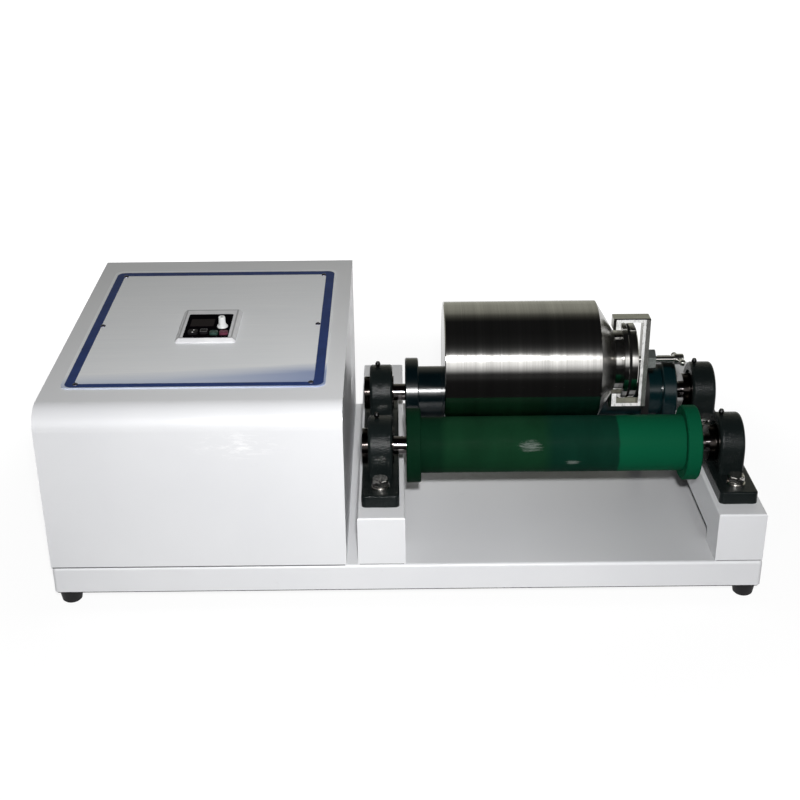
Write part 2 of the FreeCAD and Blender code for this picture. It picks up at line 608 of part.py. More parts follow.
def make_key(x, y, length, width):
    """A key cap with a hidden flange that stops it under the face; it stands on its own foot."""
    top = face_top()
    cap = rounded_plate(x - length / 2, x + length / 2, y - width / 2, y + width / 2,
                        key_floor() + s.key_travel_gap + s.key_height / 2, top + s.key_height, s.key_corner)
    cap = cap.makeFillet(s.key_clearance * 2, edges_at_z(cap, top + s.key_height))
    f = s.key_flange
    under = top - s.face_thickness
    flange = box(x - length / 2 - f, x + length / 2 + f, y - width / 2 - f, y + width / 2 + f,
                 under - s.key_flange_thickness, under)
    return fuse([cap, flange])


def make_knob():
    top = face_top() + s.key_clearance / 2
    r, R = s.knob_radius, s.knob_skirt_radius
    z1, z2 = top + s.knob_skirt_height, top + s.knob_height
    stem = s.knob_stem_radius
    outline = [(0, key_floor()), (stem, key_floor()), (stem, top), (R, top), (R, z1 - s.knob_taper),
               (R - s.knob_taper, z1), (r + s.knob_taper, z1), (r, z2 - s.knob_taper),
               (r - s.knob_taper, z2), (0, z2)]
    body = turned_z(outline, s.knob_x, s.knob_y)
    w, d = s.knob_pointer_width / 2, s.knob_pointer_depth
    groove = box(s.knob_x - w, s.knob_x + w, s.knob_y, s.knob_y + R, z2 - d, z2 + d)
    return body.cut(groove)


# Drive.


def make_motor():
    x0 = LEFT + s.motor_left
    z = s.motor_axis_height
    body = rod_x(x0, x0 + s.motor_length, REAR_Y, z, s.motor_radius)
    cap = rod_x(x0 - s.motor_cap_length, x0, REAR_Y, z, s.motor_cap_radius)
    return fuse([body, cap])


def make_gearbox():
    x0 = LEFT + s.motor_left + s.motor_length
    x1 = x0 + s.gearbox_length
    body = rod_x(x0, x1, REAR_Y, s.motor_axis_height, s.motor_radius)
    hub = rod_x(x1, x1 + s.output_hub_length, REAR_Y, s.drive_axis_height, s.output_hub_radius)
    bore = rod_x(LEFT + s.drive_shaft_left - s.key_clearance, x1 + s.gearbox_length, REAR_Y,
                 s.drive_axis_height, s.drive_shaft_radius + s.running_gap)
    return fuse([body, hub]).cut(bore)


def make_cradles():
    x0 = LEFT + s.motor_left
    total = s.motor_length + s.gearbox_length
    cradles = []
    for start in (x0 + s.cradle_end_gap, x0 + total - s.cradle_end_gap - s.cradle_length):
        block = box(start, start + s.cradle_length, REAR_Y - s.cradle_half_width, REAR_Y + s.cradle_half_width,
                    TRAY_TOP, TRAY_TOP + s.cradle_rise)
        body = rod_x(start - s.sheet, start + s.cradle_length + s.sheet, REAR_Y, s.motor_axis_height, s.motor_radius)
        cradles += block.cut(body).Solids
    return several(cradles)


def make_drive_bearings():
    blocks = []
    second = BELT_X - s.drive_bearing_belt_gap - s.drive_bearing_width
    for x0 in (LEFT + s.drive_bearing_first, second):
        block = box(x0, x0 + s.drive_bearing_width, REAR_Y - s.drive_bearing_half_depth,
                    REAR_Y + s.drive_bearing_half_depth, PLATE_TOP, TRAY_TOP - s.sheet)
        bore = rod_x(x0 - s.sheet, x0 + s.drive_bearing_width + s.sheet, REAR_Y, s.drive_axis_height,
                     s.drive_shaft_radius + s.running_gap)
        blocks.append(block.cut(bore))
    return several(blocks)


def make_drive_shaft():
    return rod_x(LEFT + s.drive_shaft_left, BELT_X + s.drive_shaft_tail, REAR_Y, s.drive_axis_height,
                 s.drive_shaft_radius)


def make_pulley():
    half = s.belt_width / 2 + s.belt_gap
    x = BELT_X
    f, r, R = s.pulley_flange, s.pulley_radius, s.pulley_flange_radius
    outline = [(x - half - f, s.drive_shaft_radius), (x - half - f, R), (x - half, R), (x - half, r),
               (x + half, r), (x + half, R), (x + half + f, R), (x + half + f, s.drive_shaft_radius)]
    return turned_x(outline, REAR_Y, s.drive_axis_height)


def belt_loop(grow, x0, x1):
    """The filled outline of a belt round the pulley and the rear roller, grown by a distance."""
    z0, z1 = s.drive_axis_height, AXIS_Z
    r0, r1 = s.pulley_radius + grow, s.roller_radius + grow
    lean = math.asin((r1 - r0) / (z1 - z0))
    side = []
    for sign, order in ((1, 1), (-1, -1)):
        pair = [(REAR_Y + sign * r0 * math.cos(lean), z0 - r0 * math.sin(lean)),
                (REAR_Y + sign * r1 * math.cos(lean), z1 - r1 * math.sin(lean))]
        side += pair[::order]
    return fuse([prism_x(side, x0, x1), rod_x(x0, x1, REAR_Y, z0, r0), rod_x(x0, x1, REAR_Y, z1, r1)])


def make_belt():
    x = BELT_X
    half = s.belt_width / 2
    outer = belt_loop(s.belt_gap + s.belt_thickness, x - half, x + half)
    inner = belt_loop(s.belt_gap, x - s.belt_width, x + s.belt_width)
    return outer.cut(inner)


# Risers and bearing blocks.


def block_places():
    return [("front_left", LEFT_BLOCK_X, FRONT_Y, 1), ("front_right", RIGHT_BLOCK_X, FRONT_Y, -1),
            ("rear_left", LEFT_BLOCK_X, REAR_Y, 1), ("rear_right", RIGHT_BLOCK_X, REAR_Y, -1)]


def bolt_places():
    return [(x, y + side * BOLT_REACH) for _, x, y, _ in block_places() for side in (-1, 1)]


def make_riser(x0, toward):
    """A folded channel; its wall on the rollers' side stands clear of the tray between its ends."""
    x1 = x0 + s.riser_width
    y0, y1 = FRONT + s.riser_front_inset, BACK
    t = s.riser_sheet
    outer = box(x0, x1, y0, y1, TRAY_TOP, RISER_TOP)
    outer = outer.makeFillet(s.riser_edge, edges_at_z(outer, RISER_TOP))
    inner = box(x0 + t, x1 - t, y0 + t, y1 - t, TRAY_TOP - t, RISER_TOP - t)
    bores = [rod_z(x, y, RISER_TOP - 2 * t, RISER_TOP + t, s.bolt_radius) for x, y in bolt_places()
             if x0 < x < x1]
    wall = x1 if toward > 0 else x0
    relief = box(wall - 2 * t, wall + 2 * t, y0 + s.riser_relief_inset, y1 - s.riser_relief_inset, TRAY_TOP - t,
                 TRAY_TOP + s.riser_relief_height)
    return cut(outer, [inner, relief] + bores)


def make_housing(nipple_offset, front_toe, rear_toe):
    """A cast bearing block standing on z = 0 with its shaft line along X; the foot ends in a toe."""
    hw, hl, fh, az = s.block_foot_width / 2, s.block_length / 2, s.block_foot_height, s.block_axis_height
    foot = rounded_plate(-hw, hw, -hl - front_toe, hl + rear_toe, 0, fh, s.block_foot_corner)
    foot = foot.makeFillet(s.block_foot_edge, edges_at_z(foot, fh))
    rw, rr, low = s.block_ring_width / 2, s.block_ring_radius, fh / 2
    body = fuse([rod_x(-rw, rw, 0, az, rr), box(-rw, rw, -rr, rr, low, az)])
    rims = [e for e in body.Edges if e.BoundBox.XLength < s.block_ring_edge and e.BoundBox.ZMax > fh]
    body = body.makeFillet(s.block_ring_edge, rims)
    whole = fuse([foot, body])
    bore = rod_x(-hw, hw, 0, az, s.block_bore_radius)
    slots = []
    straight = (s.block_slot_length - s.block_slot_width) / 2
    r = s.block_slot_width / 2
    for side in (-1, 1):
        y = side * BOLT_REACH
        slots.append(fuse([rod_z(0, y - straight, -fh, 2 * fh, r), rod_z(0, y + straight, -fh, 2 * fh, r),
                           box(-r, r, y - straight, y + straight, -fh, 2 * fh)]))
    nipple = Part.makeCylinder(s.nipple_waist, s.nipple_height, nipple_foot(nipple_offset), V(0, 0, 1))
    return cut(whole, [bore, nipple] + slots)


def nipple_foot(offset):
    return V(-offset, 0, s.block_axis_height + s.block_ring_radius - s.nipple_height / 2)


def make_outer_rings():
    rings = []
    half = s.outer_ring_width / 2
    for _, x, y, _ in block_places():
        r0 = s.inner_ring_radius + s.ring_gap
        ring = rod_x(x - half, x + half, y, AXIS_Z, s.block_bore_radius)
        rings.append(ring.cut(rod_x(x - 2 * half, x + 2 * half, y, AXIS_Z, r0)))
    return several(rings)


def make_nipples():
    nipples = []
    for _, x, y, side in block_places():
        foot = nipple_foot(s.left_nipple_offset if side > 0 else s.right_nipple_offset)
        z0 = RISER_TOP + foot.z
        x0 = x + foot.x
        w, r, h = s.nipple_waist, s.nipple_radius, s.nipple_height
        outline = [(0, z0), (w, z0), (w, z0 + h * 2 / 3), (r, z0 + h * 3 / 4), (r, z0 + h), (w, z0 + h * 5 / 4),
                   (0, z0 + h * 5 / 4)]
        nipples.append(turned_z(outline, x0, y))
    return several(nipples)


def make_bolts():
    bolts = []
    for x, y in bolt_places():
        z = RISER_TOP + s.block_foot_height + s.washer_thickness + s.spring_washer_height
        head = hexagon(V(x, y, z), s.bolt_head_across_flats, s.bolt_head_height, V(0, 0, 1), V(1, 0, 0))
        dome = turned_z([(0, z), (s.bolt_head_across_flats * 4 / 7, z), (s.bolt_head_across_flats / 2,
                        z + s.bolt_head_height), (0, z + s.bolt_head_height)], x, y)
        shank = rod_z(x, y, RISER_TOP - s.bolt_tail, z, s.bolt_radius)
        bolts.append(fuse([head.common(dome), shank]))
    return several(bolts)


def make_washers():
    """A flat washer under a spring washer at each bolt."""
    washers = []
    z0 = RISER_TOP + s.block_foot_height
    z1 = z0 + s.washer_thickness
    z2 = z1 + s.spring_washer_height
    for x, y in bolt_places():
        pair = fuse([rod_z(x, y, z0, z1, s.washer_radius), rod_z(x, y, z1, z2, s.spring_washer_radius)])
        washers.append(pair.cut(rod_z(x, y, z0 - s.sheet, z2 + s.sheet, s.bolt_radius)))
    return several(washers)


def make_nuts():
    z = RISER_TOP - s.riser_sheet - s.nut_height
    return several([hexagon(V(x, y, z), s.bolt_head_across_flats, s.nut_height, V(0, 0, 1), V(1, 0, 0)).cut(
        rod_z(x, y, z - s.sheet, z + 2 * s.nut_height, s.bolt_radius)) for x, y in bolt_places()])


# Rollers, each drawn on its own shaft line and then placed.


def roller_place(y):
    return FreeCAD.Placement(V(0, y, AXIS_Z), FreeCAD.Rotation())


def make_roller_shaft():
    x0, x1 = LEFT_BLOCK_X - s.left_ring_long - s.shaft_stub, RIGHT_BLOCK_X + s.inner_ring_short + s.shaft_stub
    c, r = s.shaft_chamfer, s.shaft_radius
    return turned_x([(x0, 0), (x0, r - c), (x0 + c, r), (x1 - c, r), (x1, r - c), (x1, 0)], 0, 0)


def make_roller_core():
    x0, x1 = ROLLER_LEFT, ROLLER_RIGHT
    return rod_x(x0, x1, 0, 0, s.roller_core_radius).cut(rod_x(x0 - s.sheet, x1 + s.sheet, 0, 0, s.shaft_radius))


def make_roller_sleeve():
    x0, x1 = ROLLER_LEFT, ROLLER_RIGHT
    x0, x1 = x0 + s.flange_thickness, x1 - s.flange_thickness
    return rod_x(x0, x1, 0, 0, s.roller_radius).cut(rod_x(x0 - s.sheet, x1 + s.sheet, 0, 0, s.roller_core_radius))


def make_roller_flanges():
    x0, x1 = ROLLER_LEFT, ROLLER_RIGHT
    flanges = []
    e, R = s.flange_edge, s.flange_radius
    for start in (x0, x1 - s.flange_thickness):
        end = start + s.flange_thickness
        outline = [(start, s.roller_core_radius), (start, R - e), (start + e, R), (end - e, R), (end, R - e),
                   (end, s.roller_core_radius)]
        flanges.append(turned_x(outline, 0, 0))
    return several(flanges)


def make_inner_rings():
    rings = []
    r0, r1 = s.shaft_radius, s.inner_ring_radius
    for x, long in ((LEFT_BLOCK_X, s.left_ring_long), (RIGHT_BLOCK_X, s.right_ring_long)):
        x0, x1 = x - long, x + s.inner_ring_short
        ring = rod_x(x0, x1, 0, 0, r1).cut(rod_x(x0 - r0, x1 + r0, 0, 0, r0))
        sx = x0 + s.ring_screw_setback
        hole = rod_z(sx, 0, r1 - s.ring_screw_depth, 2 * r1, s.ring_screw_radius)
        rings.append(ring.cut(hole))
    return several(rings)


# Jar and its clamp.


def make_jar():
    x0, x1, x2 = JAR_LEFT, SHOULDER, SHOULDER + s.neck_start
    x3, x4 = SHOULDER + s.jar_flange_left, SHOULDER + s.jar_flange_right
    R, n, F, w, e = s.jar_radius, s.neck_radius, s.jar_flange_radius, s.jar_wall, s.jar_edge
    b = s.neck_bore_radius
    outline = [(x0, 0), (x0, R - e), (x0 + e, R), (x1, R), (x2, n), (x3, n), (x3, F - e), (x3 + e, F),
               (x4 - e, F), (x4, F - e), (x4, b), (x2 - w / 3, b), (x1 - w / 2, R - w),
               (x0 + s.jar_end_wall, R - w), (x0 + s.jar_end_wall, 0)]
    return turned_x(outline, JAR_Y, JAR_Z)


def make_gasket():
    x0 = SHOULDER + s.jar_flange_right
    return rod_x(x0, x0 + s.gasket_thickness, JAR_Y, JAR_Z, s.gasket_outer_radius).cut(
        rod_x(x0 - s.sheet, x0 + 2 * s.gasket_thickness, JAR_Y, JAR_Z, s.neck_bore_radius))


def lid_start():
    return SHOULDER + s.jar_flange_right + s.gasket_thickness


def lid_end():
    return lid_start() + s.lid_thickness + s.lid_boss_height


def make_lid():
    x0 = lid_start()
    x1 = x0 + s.lid_thickness
    e, R = s.lid_edge, s.lid_radius
    outline = [(x0 - s.lid_plug_length, 0), (x0 - s.lid_plug_length, s.lid_plug_radius), (x0, s.lid_plug_radius),
               (x0, R), (x1 - e, R), (x1, R - e), (x1, s.lid_boss_radius), (lid_end(), s.lid_boss_radius),
               (lid_end(), 0)]
    return turned_x(outline, JAR_Y, JAR_Z)


def make_yoke():
    """Two arms on a thick back that the screw goes through; their hooks hold the jar's flange."""
    x0 = SHOULDER + s.jar_flange_left - s.yoke_hook_gap - s.yoke_hook
    x1 = SHOULDER + s.yoke_right
    low, high, b = JAR_Z - s.yoke_bottom_reach, JAR_Z + s.yoke_top_reach, s.yoke_arm
    h, w = s.yoke_hook_reach, s.yoke_width / 2
    whole = box(x0, x1, JAR_Y - w, JAR_Y + w, low, high)
    inside = box(x0 + s.yoke_hook, x1 - s.yoke_back, JAR_Y - 2 * w, JAR_Y + 2 * w, low + b, high - b)
    mouth = box(x0 - b, x0 + 2 * s.yoke_hook, JAR_Y - 2 * w, JAR_Y + 2 * w, JAR_Z - h, JAR_Z + h)
    bore = rod_x(x0, x1 + b, JAR_Y, JAR_Z, s.screw_radius + s.running_gap)
    corners = [e for e in edges_along(whole, V(0, 1, 0))]
    whole = whole.makeFillet(s.yoke_edge, corners)
    return cut(whole, [inside, mouth, bore])


def make_yoke_nut():
    x0 = SHOULDER + s.yoke_right
    nut = hexagon(V(x0, JAR_Y, JAR_Z), s.yoke_nut_across_flats, s.yoke_nut_length, V(1, 0, 0), V(0, 0, 1))
    R, c = s.yoke_nut_across_flats / math.sqrt(3), s.yoke_nut_edge
    x1 = x0 + s.yoke_nut_length
    dome = turned_x([(x0, 0), (x0, R), (x1 - c, R), (x1, R - c), (x1, 0)], JAR_Y, JAR_Z)
    bore = rod_x(x0 - R, x1 + R, JAR_Y, JAR_Z, s.screw_radius + s.running_gap)
    return nut.common(dome).cut(bore)


def make_pad():
    x0 = lid_end()
    x1 = x0 + s.pad_thickness
    pad = rod_x(x0, x1, JAR_Y, JAR_Z, s.pad_radius)
    recess = rod_x(x1 - s.pad_recess, x1 + s.pad_thickness, JAR_Y, JAR_Z, s.screw_tip_radius + s.running_gap)
    return pad.cut(recess)


def bar_direction():
    return FreeCAD.Rotation(V(1, 0, 0), -s.bar_tilt_degrees).multVec(V(0, 1, 0))


def bar_centre():
    return V(SHOULDER + s.screw_end + s.screw_head_length / 2, JAR_Y, JAR_Z)


def make_clamp_screw():
    x0 = lid_end() + s.pad_thickness
    x1 = SHOULDER + s.screw_end
    x2 = x1 + s.screw_head_length
    r, R, e = s.screw_radius, s.screw_head_radius, s.shaft_chamfer
    tip = x0 - s.pad_recess
    outline = [(tip, 0), (tip, s.screw_tip_radius), (x0, s.screw_tip_radius), (x0, r), (x1, r), (x1, R - e),
               (x1 + e, R), (x2 - e, R), (x2, R - e), (x2, 0)]
    axis = bar_direction()
    bore = Part.makeCylinder(s.bar_radius, 4 * R, bar_centre() - axis * 2 * R, axis)
    return turned_x(outline, JAR_Y, JAR_Z).cut(bore)


def make_tommy_bar():
    axis = bar_direction()
    start = bar_centre() - axis * (s.bar_length / 2)
    rod = Part.makeCylinder(s.bar_radius, s.bar_length, start, axis)
    ends = [Part.makeSphere(s.bar_ball_radius, start), Part.makeSphere(s.bar_ball_radius, start + axis * s.bar_length)]
    return fuse([rod] + ends)


def make_balls():
    balls = []
    reach = s.jar_radius - s.jar_wall - s.ball_radius - s.ball_gap
    step = 2 * math.asin((s.ball_radius + s.ball_gap / 2) / reach)
    pitch = 2 * s.ball_radius + s.ball_gap
    count = int((SHOULDER - JAR_LEFT - s.jar_end_wall - 2 * s.ball_first_gap) / pitch)
    for row in range(int(s.ball_rows)):
        angle = (row - (s.ball_rows - 1) / 2) * step
        for k in range(count):
            x = JAR_LEFT + s.jar_end_wall + s.ball_first_gap + s.ball_radius
            x += k * pitch
            balls.append(Part.makeSphere(s.ball_radius, V(x, JAR_Y + reach * math.sin(angle),
                                                          JAR_Z - reach * math.cos(angle))))
    return several(balls)


# Build every sub-part.

add("base_tray", make_base_tray())
add("base_bottom_plate", make_bottom_plate())
add("rubber_feet", make_feet())
add("foot_screws", make_foot_screws())
add("cabinet_cover", make_cabinet_cover())
add("cabinet_left_side", make_left_side())
add("cabinet_right_side", make_right_side())
add("cabinet_back_panel", make_back_panel())
add("cabinet_screws", make_cabinet_screws())
add("power_inlet", make_power_inlet())
add("power_switch_frame", make_switch_frame())
add("power_rocker", make_rocker())
add("control_panel", make_control_panel(), TOP_PLACE)
add("panel_screws", make_panel_screws(), TOP_PLACE)
add("controller_bezel", make_bezel(), TOP_PLACE)
add("controller_face", make_face(), TOP_PLACE)
add("display_window", make_display(), TOP_PLACE)
add("controller_box", make_controller_box(), TOP_PLACE)
for key_name, key_place in zip(("mode_key", "select_key", "run_key", "stop_key"), key_places()):
    add(key_name, make_key(*key_place), TOP_PLACE)
add("speed_knob", make_knob(), TOP_PLACE)
add("gear_motor", make_motor())
add("gearbox", make_gearbox())
add("motor_cradles", make_cradles())
add("drive_shaft_bearings", make_drive_bearings())
add("drive_shaft", make_drive_shaft())
add("drive_pulley", make_pulley())
add("drive_belt", make_belt())
add("left_riser", make_riser(LEFT_RISER_X, 1))
add("right_riser", make_riser(RIGHT_RISER_X, -1))
for place_name, block_x, block_y, toward in block_places():
    offset = s.left_nipple_offset if toward > 0 else s.right_nipple_offset
    block_place = FreeCAD.Placement(V(block_x, block_y, RISER_TOP), FreeCAD.Rotation())
    toes = (s.block_toe, 0) if block_y == FRONT_Y else (0, s.block_toe)
    add("bearing_housing_" + place_name, make_housing(offset, *toes), block_place)
add("bearing_outer_rings", make_outer_rings())
add("grease_nipples", make_nipples())
add("housing_bolts", make_bolts())
add("housing_washers", make_washers())
add("housing_nuts", make_nuts())
for roller, roller_y in (("front", FRONT_Y), ("rear", REAR_Y)):
    add(roller + "_roller_shaft", make_roller_shaft(), roller_place(roller_y))
    add(roller + "_roller_core", make_roller_core(), roller_place(roller_y))
    add(roller + "_roller_sleeve", make_roller_sleeve(), roller_place(roller_y))
    add(roller + "_roller_flanges", make_roller_flanges(), roller_place(roller_y))
    add(roller + "_bearing_inner_rings", make_inner_rings(), roller_place(roller_y))
add("jar_body", make_jar())
add("jar_gasket", make_gasket())
add("jar_lid", make_lid())
add("clamp_yoke", make_yoke())
add("yoke_nut", make_yoke_nut())
add("clamp_pad", make_pad())
add("clamp_screw", make_clamp_screw())
add("tommy_bar", make_tommy_bar())
add("grinding_balls", make_balls())

doc.recompute()
for obj in made:
    if "Invalid" in obj.State or "Error" in obj.State:
        raise RuntimeError(obj.Label + " did not recompute")
    if obj.Shape.isNull() or not obj.Shape.isValid() or not obj.Shape.Solids:
        raise RuntimeError(obj.Label + " has no valid solid")
for obj in made:
    obj.Shape.exportStep(os.path.join("parts", obj.Label + ".step"))
    print(obj.Label, len(obj.Shape.Solids))
print(len(made), "sub-parts")
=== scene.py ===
import json
import math

import bmesh
import bpy
from mathutils import Matrix, Vector


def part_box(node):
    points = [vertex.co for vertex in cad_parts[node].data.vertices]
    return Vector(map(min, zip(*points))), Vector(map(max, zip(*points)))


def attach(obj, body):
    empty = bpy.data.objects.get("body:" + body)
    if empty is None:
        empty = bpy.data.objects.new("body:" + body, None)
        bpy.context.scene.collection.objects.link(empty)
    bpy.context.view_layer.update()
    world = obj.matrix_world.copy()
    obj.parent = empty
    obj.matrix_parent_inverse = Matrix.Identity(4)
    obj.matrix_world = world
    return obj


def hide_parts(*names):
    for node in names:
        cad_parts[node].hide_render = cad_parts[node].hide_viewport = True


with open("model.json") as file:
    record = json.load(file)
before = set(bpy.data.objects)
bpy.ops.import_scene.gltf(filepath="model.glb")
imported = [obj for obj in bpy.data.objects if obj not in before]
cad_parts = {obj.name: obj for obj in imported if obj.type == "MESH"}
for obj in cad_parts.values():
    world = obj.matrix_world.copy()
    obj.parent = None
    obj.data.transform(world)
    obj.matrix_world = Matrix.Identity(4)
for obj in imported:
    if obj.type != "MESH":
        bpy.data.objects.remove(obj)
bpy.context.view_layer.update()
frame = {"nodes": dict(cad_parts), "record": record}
nodes = frame["nodes"]

MM = 0.001

# The camera, solved from the edges of the base, risers and cabinet in the photograph.
CAMERA_PLACE = Vector((-8.6, -1367.0, 782.4)) * MM
CAMERA_YAW, CAMERA_PITCH, CAMERA_ROLL = 0.002047, 0.4354, -0.009301
PHOTO_SIZE, FOCAL_PIXELS, SENSOR = 800, 1297.0, 36.0
CLIP_START, CLIP_END = 0.05, 50.0

# The cabinet, its sloping top and the tray, as in the frame.
LEFT, BACK, TRAY_TOP = -375 * MM, 202 * MM, 49 * MM
TOP_FRONT_Z, TOP_TILT = 230.5 * MM, math.atan(18.7 * MM / (2 * BACK))

# Rounded rectangles on the sloping top, in the plate's own mm: low x, high x, low y, high y and corner radius.
# The last one is wide open to the sides and the back, so that only its front edge lies on the bezel.
PRINT_OUTER = (22.0, 290.0, 52.0, 365.2, 9.0)
PRINT_INNER = (31.8, 279.8, 60.2, 354.2, 6.0)
BEZEL_RIM = (121.5, 188.5, 157.0, 240.5, 3.0)
BEZEL_FRONT = (-500.0, 900.0, 160.6, 900.0, 1.0)
# How soft the print's edges are, and how far inside the rim's outline a line of painted shade runs round the bezel.
PRINT_SOFT, BEZEL_SHADE_LINE = 0.00025, 0.0046
# The bluish tint over the front of the plate: the slant of its edge, how much further back it reaches at the
# right, the waves in the edge, the fade across it, and where along X its tone deepens.
TINT_SLANT, TINT_REACH, TINT_WAVES = -0.065, (-0.25, -0.11, 0.0, -0.010), 0.012
TINT_EDGE, TINT_DEEPER = (-0.118, -0.094, 0.9, 0.0), (-0.21, -0.10)

# The less polished cone of the jar, also darker in colour as painted dark reflection, as distances left of the
# flange's right face.
CONE_START, CONE_END, CONE_DULLER = 0.0341, 0.0136, 0.09

# The yoke's faces finished by grinding, painted white as a highlight of the lamp, fade between these distances from
# its right, left, top and bottom edges.
GROUND_HIGHLIGHT_RIGHT, GROUND_HIGHLIGHT_LEFT = (0.0051, 0.0046), (0.0028, 0.0034)
GROUND_HIGHLIGHT_TOP, GROUND_HIGHLIGHT_BOTTOM = (0.0016, 0.0012), (0.0008, 0.0012)

# Scuffed patch on the cabinet's front, with its height stretched like the pattern there, and its reach.
SCUFF_STRETCH = (1.0, 1.0, 3.0)
SCUFF_PLACE = (-0.170, -0.202, 3 * 0.192)
SCUFF_CORE, SCUFF_REACH = 0.01, 0.055
# Where along X painted shade greys the tray towards its right end, and by how much.
SHADE_FROM, SHADE_TO, SHADE_MOST = 0.12, 0.32, 0.55

# Places along X where the bands of painted shade and dark reflection of the jar end, and half the width of each
# change.
RUBBER_BANDS, BAND_CHANGES = (0.0425, 0.155, 0.2305), (0.004, 0.006, 0.001)
# Torn spots on the front of the rollers, whose lighter colour is partly a painted glint: place with X shortened like
# the pattern there, reach and depth.
SCRAPE_STRETCH = (0.45, 1.0, 1.0)
SCRAPES = (((0.45 * 0.133, -0.132, 0.152), 0.012, 0.0012), ((0.45 * 0.178, -0.134, 0.133), 0.007, 0.0010))

# Pieces that the solids leave out, in metres. The turned knob ends KNOB_DROP below the top of the solid, and its
# stem stays KNOB_CLEAR above the box under it.
SMOOTH_ANGLE = math.radians(35)
KNOB_HEIGHT, KNOB_TOP_RADIUS, KNOB_SKIRT_RADIUS, KNOB_STEM_RADIUS = 0.0124, 0.0037, 0.0061, 0.003
KNOB_DROP, KNOB_CLEAR, KNOB_STEPS = 0.0006, 0.0001, 192
FLUTE_COUNT, FLUTE_DEPTH = 24, 0.025
POINTER_WIDTH, POINTER_RISE, POINTER_BEVEL = 0.0009, 0.0002, 0.00005
LAMP_SPOTS = ((0.0010, 0.0020), (0.0002, -0.0040))
LAMP_PROFILE = [(0.0, 0.0), (0.0009, 0.0), (0.0009, 0.0002), (0.0007, 0.0004), (0.0003, 0.0005), (0.0, 0.00052)]
RING_REACH, RING_BAR, RING_RISE, RING_BEVEL = 0.0036, 0.0005, 0.0003, 0.0001
RIM_PROFILE = [(0.0, 0.0002), (0.0022, 0.0002), (0.0027, 0.00045), (0.0031, 0.0002), (0.0032, 0.0)]
# Strips of painted shadow along the joints at the tray: their height, how far they stand proud, and their inset at the
# ends.
SEAM_HEIGHT, SEAM_PROUD, SEAM_INSET = 0.0012, 0.00012, 0.0015
HEAD_FLATS, HEAD_STEPS = 0.016, 24
SHANK_RADIUS, SHANK_TIP, SHANK_CHAMFER, SHANK_OVERLAP = 0.005, 0.0042, 0.0008, 0.003
SEAL_INNER, SEAL_OUTER, SEAL_PLACE = 0.0197, 0.0233, 0.0086
SEAL_PROFILE = [(SEAL_INNER, SEAL_PLACE), (SEAL_OUTER, SEAL_PLACE), (SEAL_OUTER, SEAL_PLACE + 0.0008),
                (SEAL_OUTER - 0.0012, SEAL_PLACE + 0.0016), (SEAL_INNER, SEAL_PLACE + 0.0028),
                (SEAL_INNER, SEAL_PLACE)]

# Lamps, floor and surroundings. The key lamp stands above the camera, and the two fill lamps low behind.
KEY_PLACE, KEY_AIM = (0.02, -1.40, 0.94), (0.0, 0.0, 0.15)
KEY_SIZE, KEY_SPREAD, KEY_ENERGY = 0.07, 112, 8.85
FILL_SIDE, FILL_BACK, FILL_HEIGHT = 1.7, 1.5, 0.16
FILL_SIZE, FILL_SPREAD, FILL_ENERGY = 0.5, 100, 4.0
SOFT_COLOUR, SOFT_LEVEL = (0.95, 0.97, 1.0, 1.0), 0.045
FLOOR_HALF, FLOOR_DROP, FLOOR_TONE, FLOOR_LIFT = 12.0, 0.0005, 0.45, 0.26
# The floor turns from shaded to white over these distances from the middle, starting at this share of white.
WHITE_FROM, WHITE_TO, WHITE_LEAST = 0.42, 1.0, 0.72
# In reflections the floor in front of the machine is dark, as the photographer's bench is: spans along Y.
NEAR_DARK, FAR_PALE = (-0.26, -0.20, 0.985, 0.0), (-1.6, -0.7, 0.97, 1.0)
# What metal reflects, by the angle from the front horizon over the top to the back horizon, in degrees.
ROOM = ((-90, 0.02), (-14, 0.02), (-4, 0.05), (1, 0.16), (5, 0.65), (11, 1.2), (16, 1.7), (27, 1.7), (32, 0.55),
        (37, 0.17), (42, 0.09), (48, 0.04), (56, 0.02), (76, 0.013), (104, 0.013), (112, 0.045), (120, 0.12),
        (128, 0.30), (140, 0.40), (184, 0.48), (205, 0.5), (230, 0.1), (270, 0.02))
ROOM_PEAK, WARM_FROM, WARM_TO, WARM_BLUE = 1.7, 110, 190, 0.86


def make_camera():
    data = bpy.data.cameras.new("camera")
    data.sensor_width = SENSOR
    data.lens = SENSOR * FOCAL_PIXELS / PHOTO_SIZE
    data.clip_start, data.clip_end = CLIP_START, CLIP_END
    camera = bpy.data.objects.new("camera", data)
    bpy.context.scene.collection.objects.link(camera)
    cy, sy = math.cos(CAMERA_YAW), math.sin(CAMERA_YAW)
    cp, sp = math.cos(CAMERA_PITCH), math.sin(CAMERA_PITCH)
    cr, sr = math.cos(CAMERA_ROLL), math.sin(CAMERA_ROLL)
    yaw = Matrix(((cy, -sy, 0), (sy, cy, 0), (0, 0, 1)))
    axes = Matrix(((1, 0, 0), (0, 0, -1), (0, 1, 0)))
    pitch = Matrix(((1, 0, 0), (0, cp, -sp), (0, sp, cp)))
    roll = Matrix(((cr, -sr, 0), (sr, cr, 0), (0, 0, 1)))
    right, down, forward = roll @ pitch @ axes @ yaw
    turn = Matrix((right, -down, -forward)).transposed()
    camera.matrix_world = Matrix.Translation(CAMERA_PLACE) @ turn.to_4x4()
    bpy.context.scene.camera = camera


# Materials.


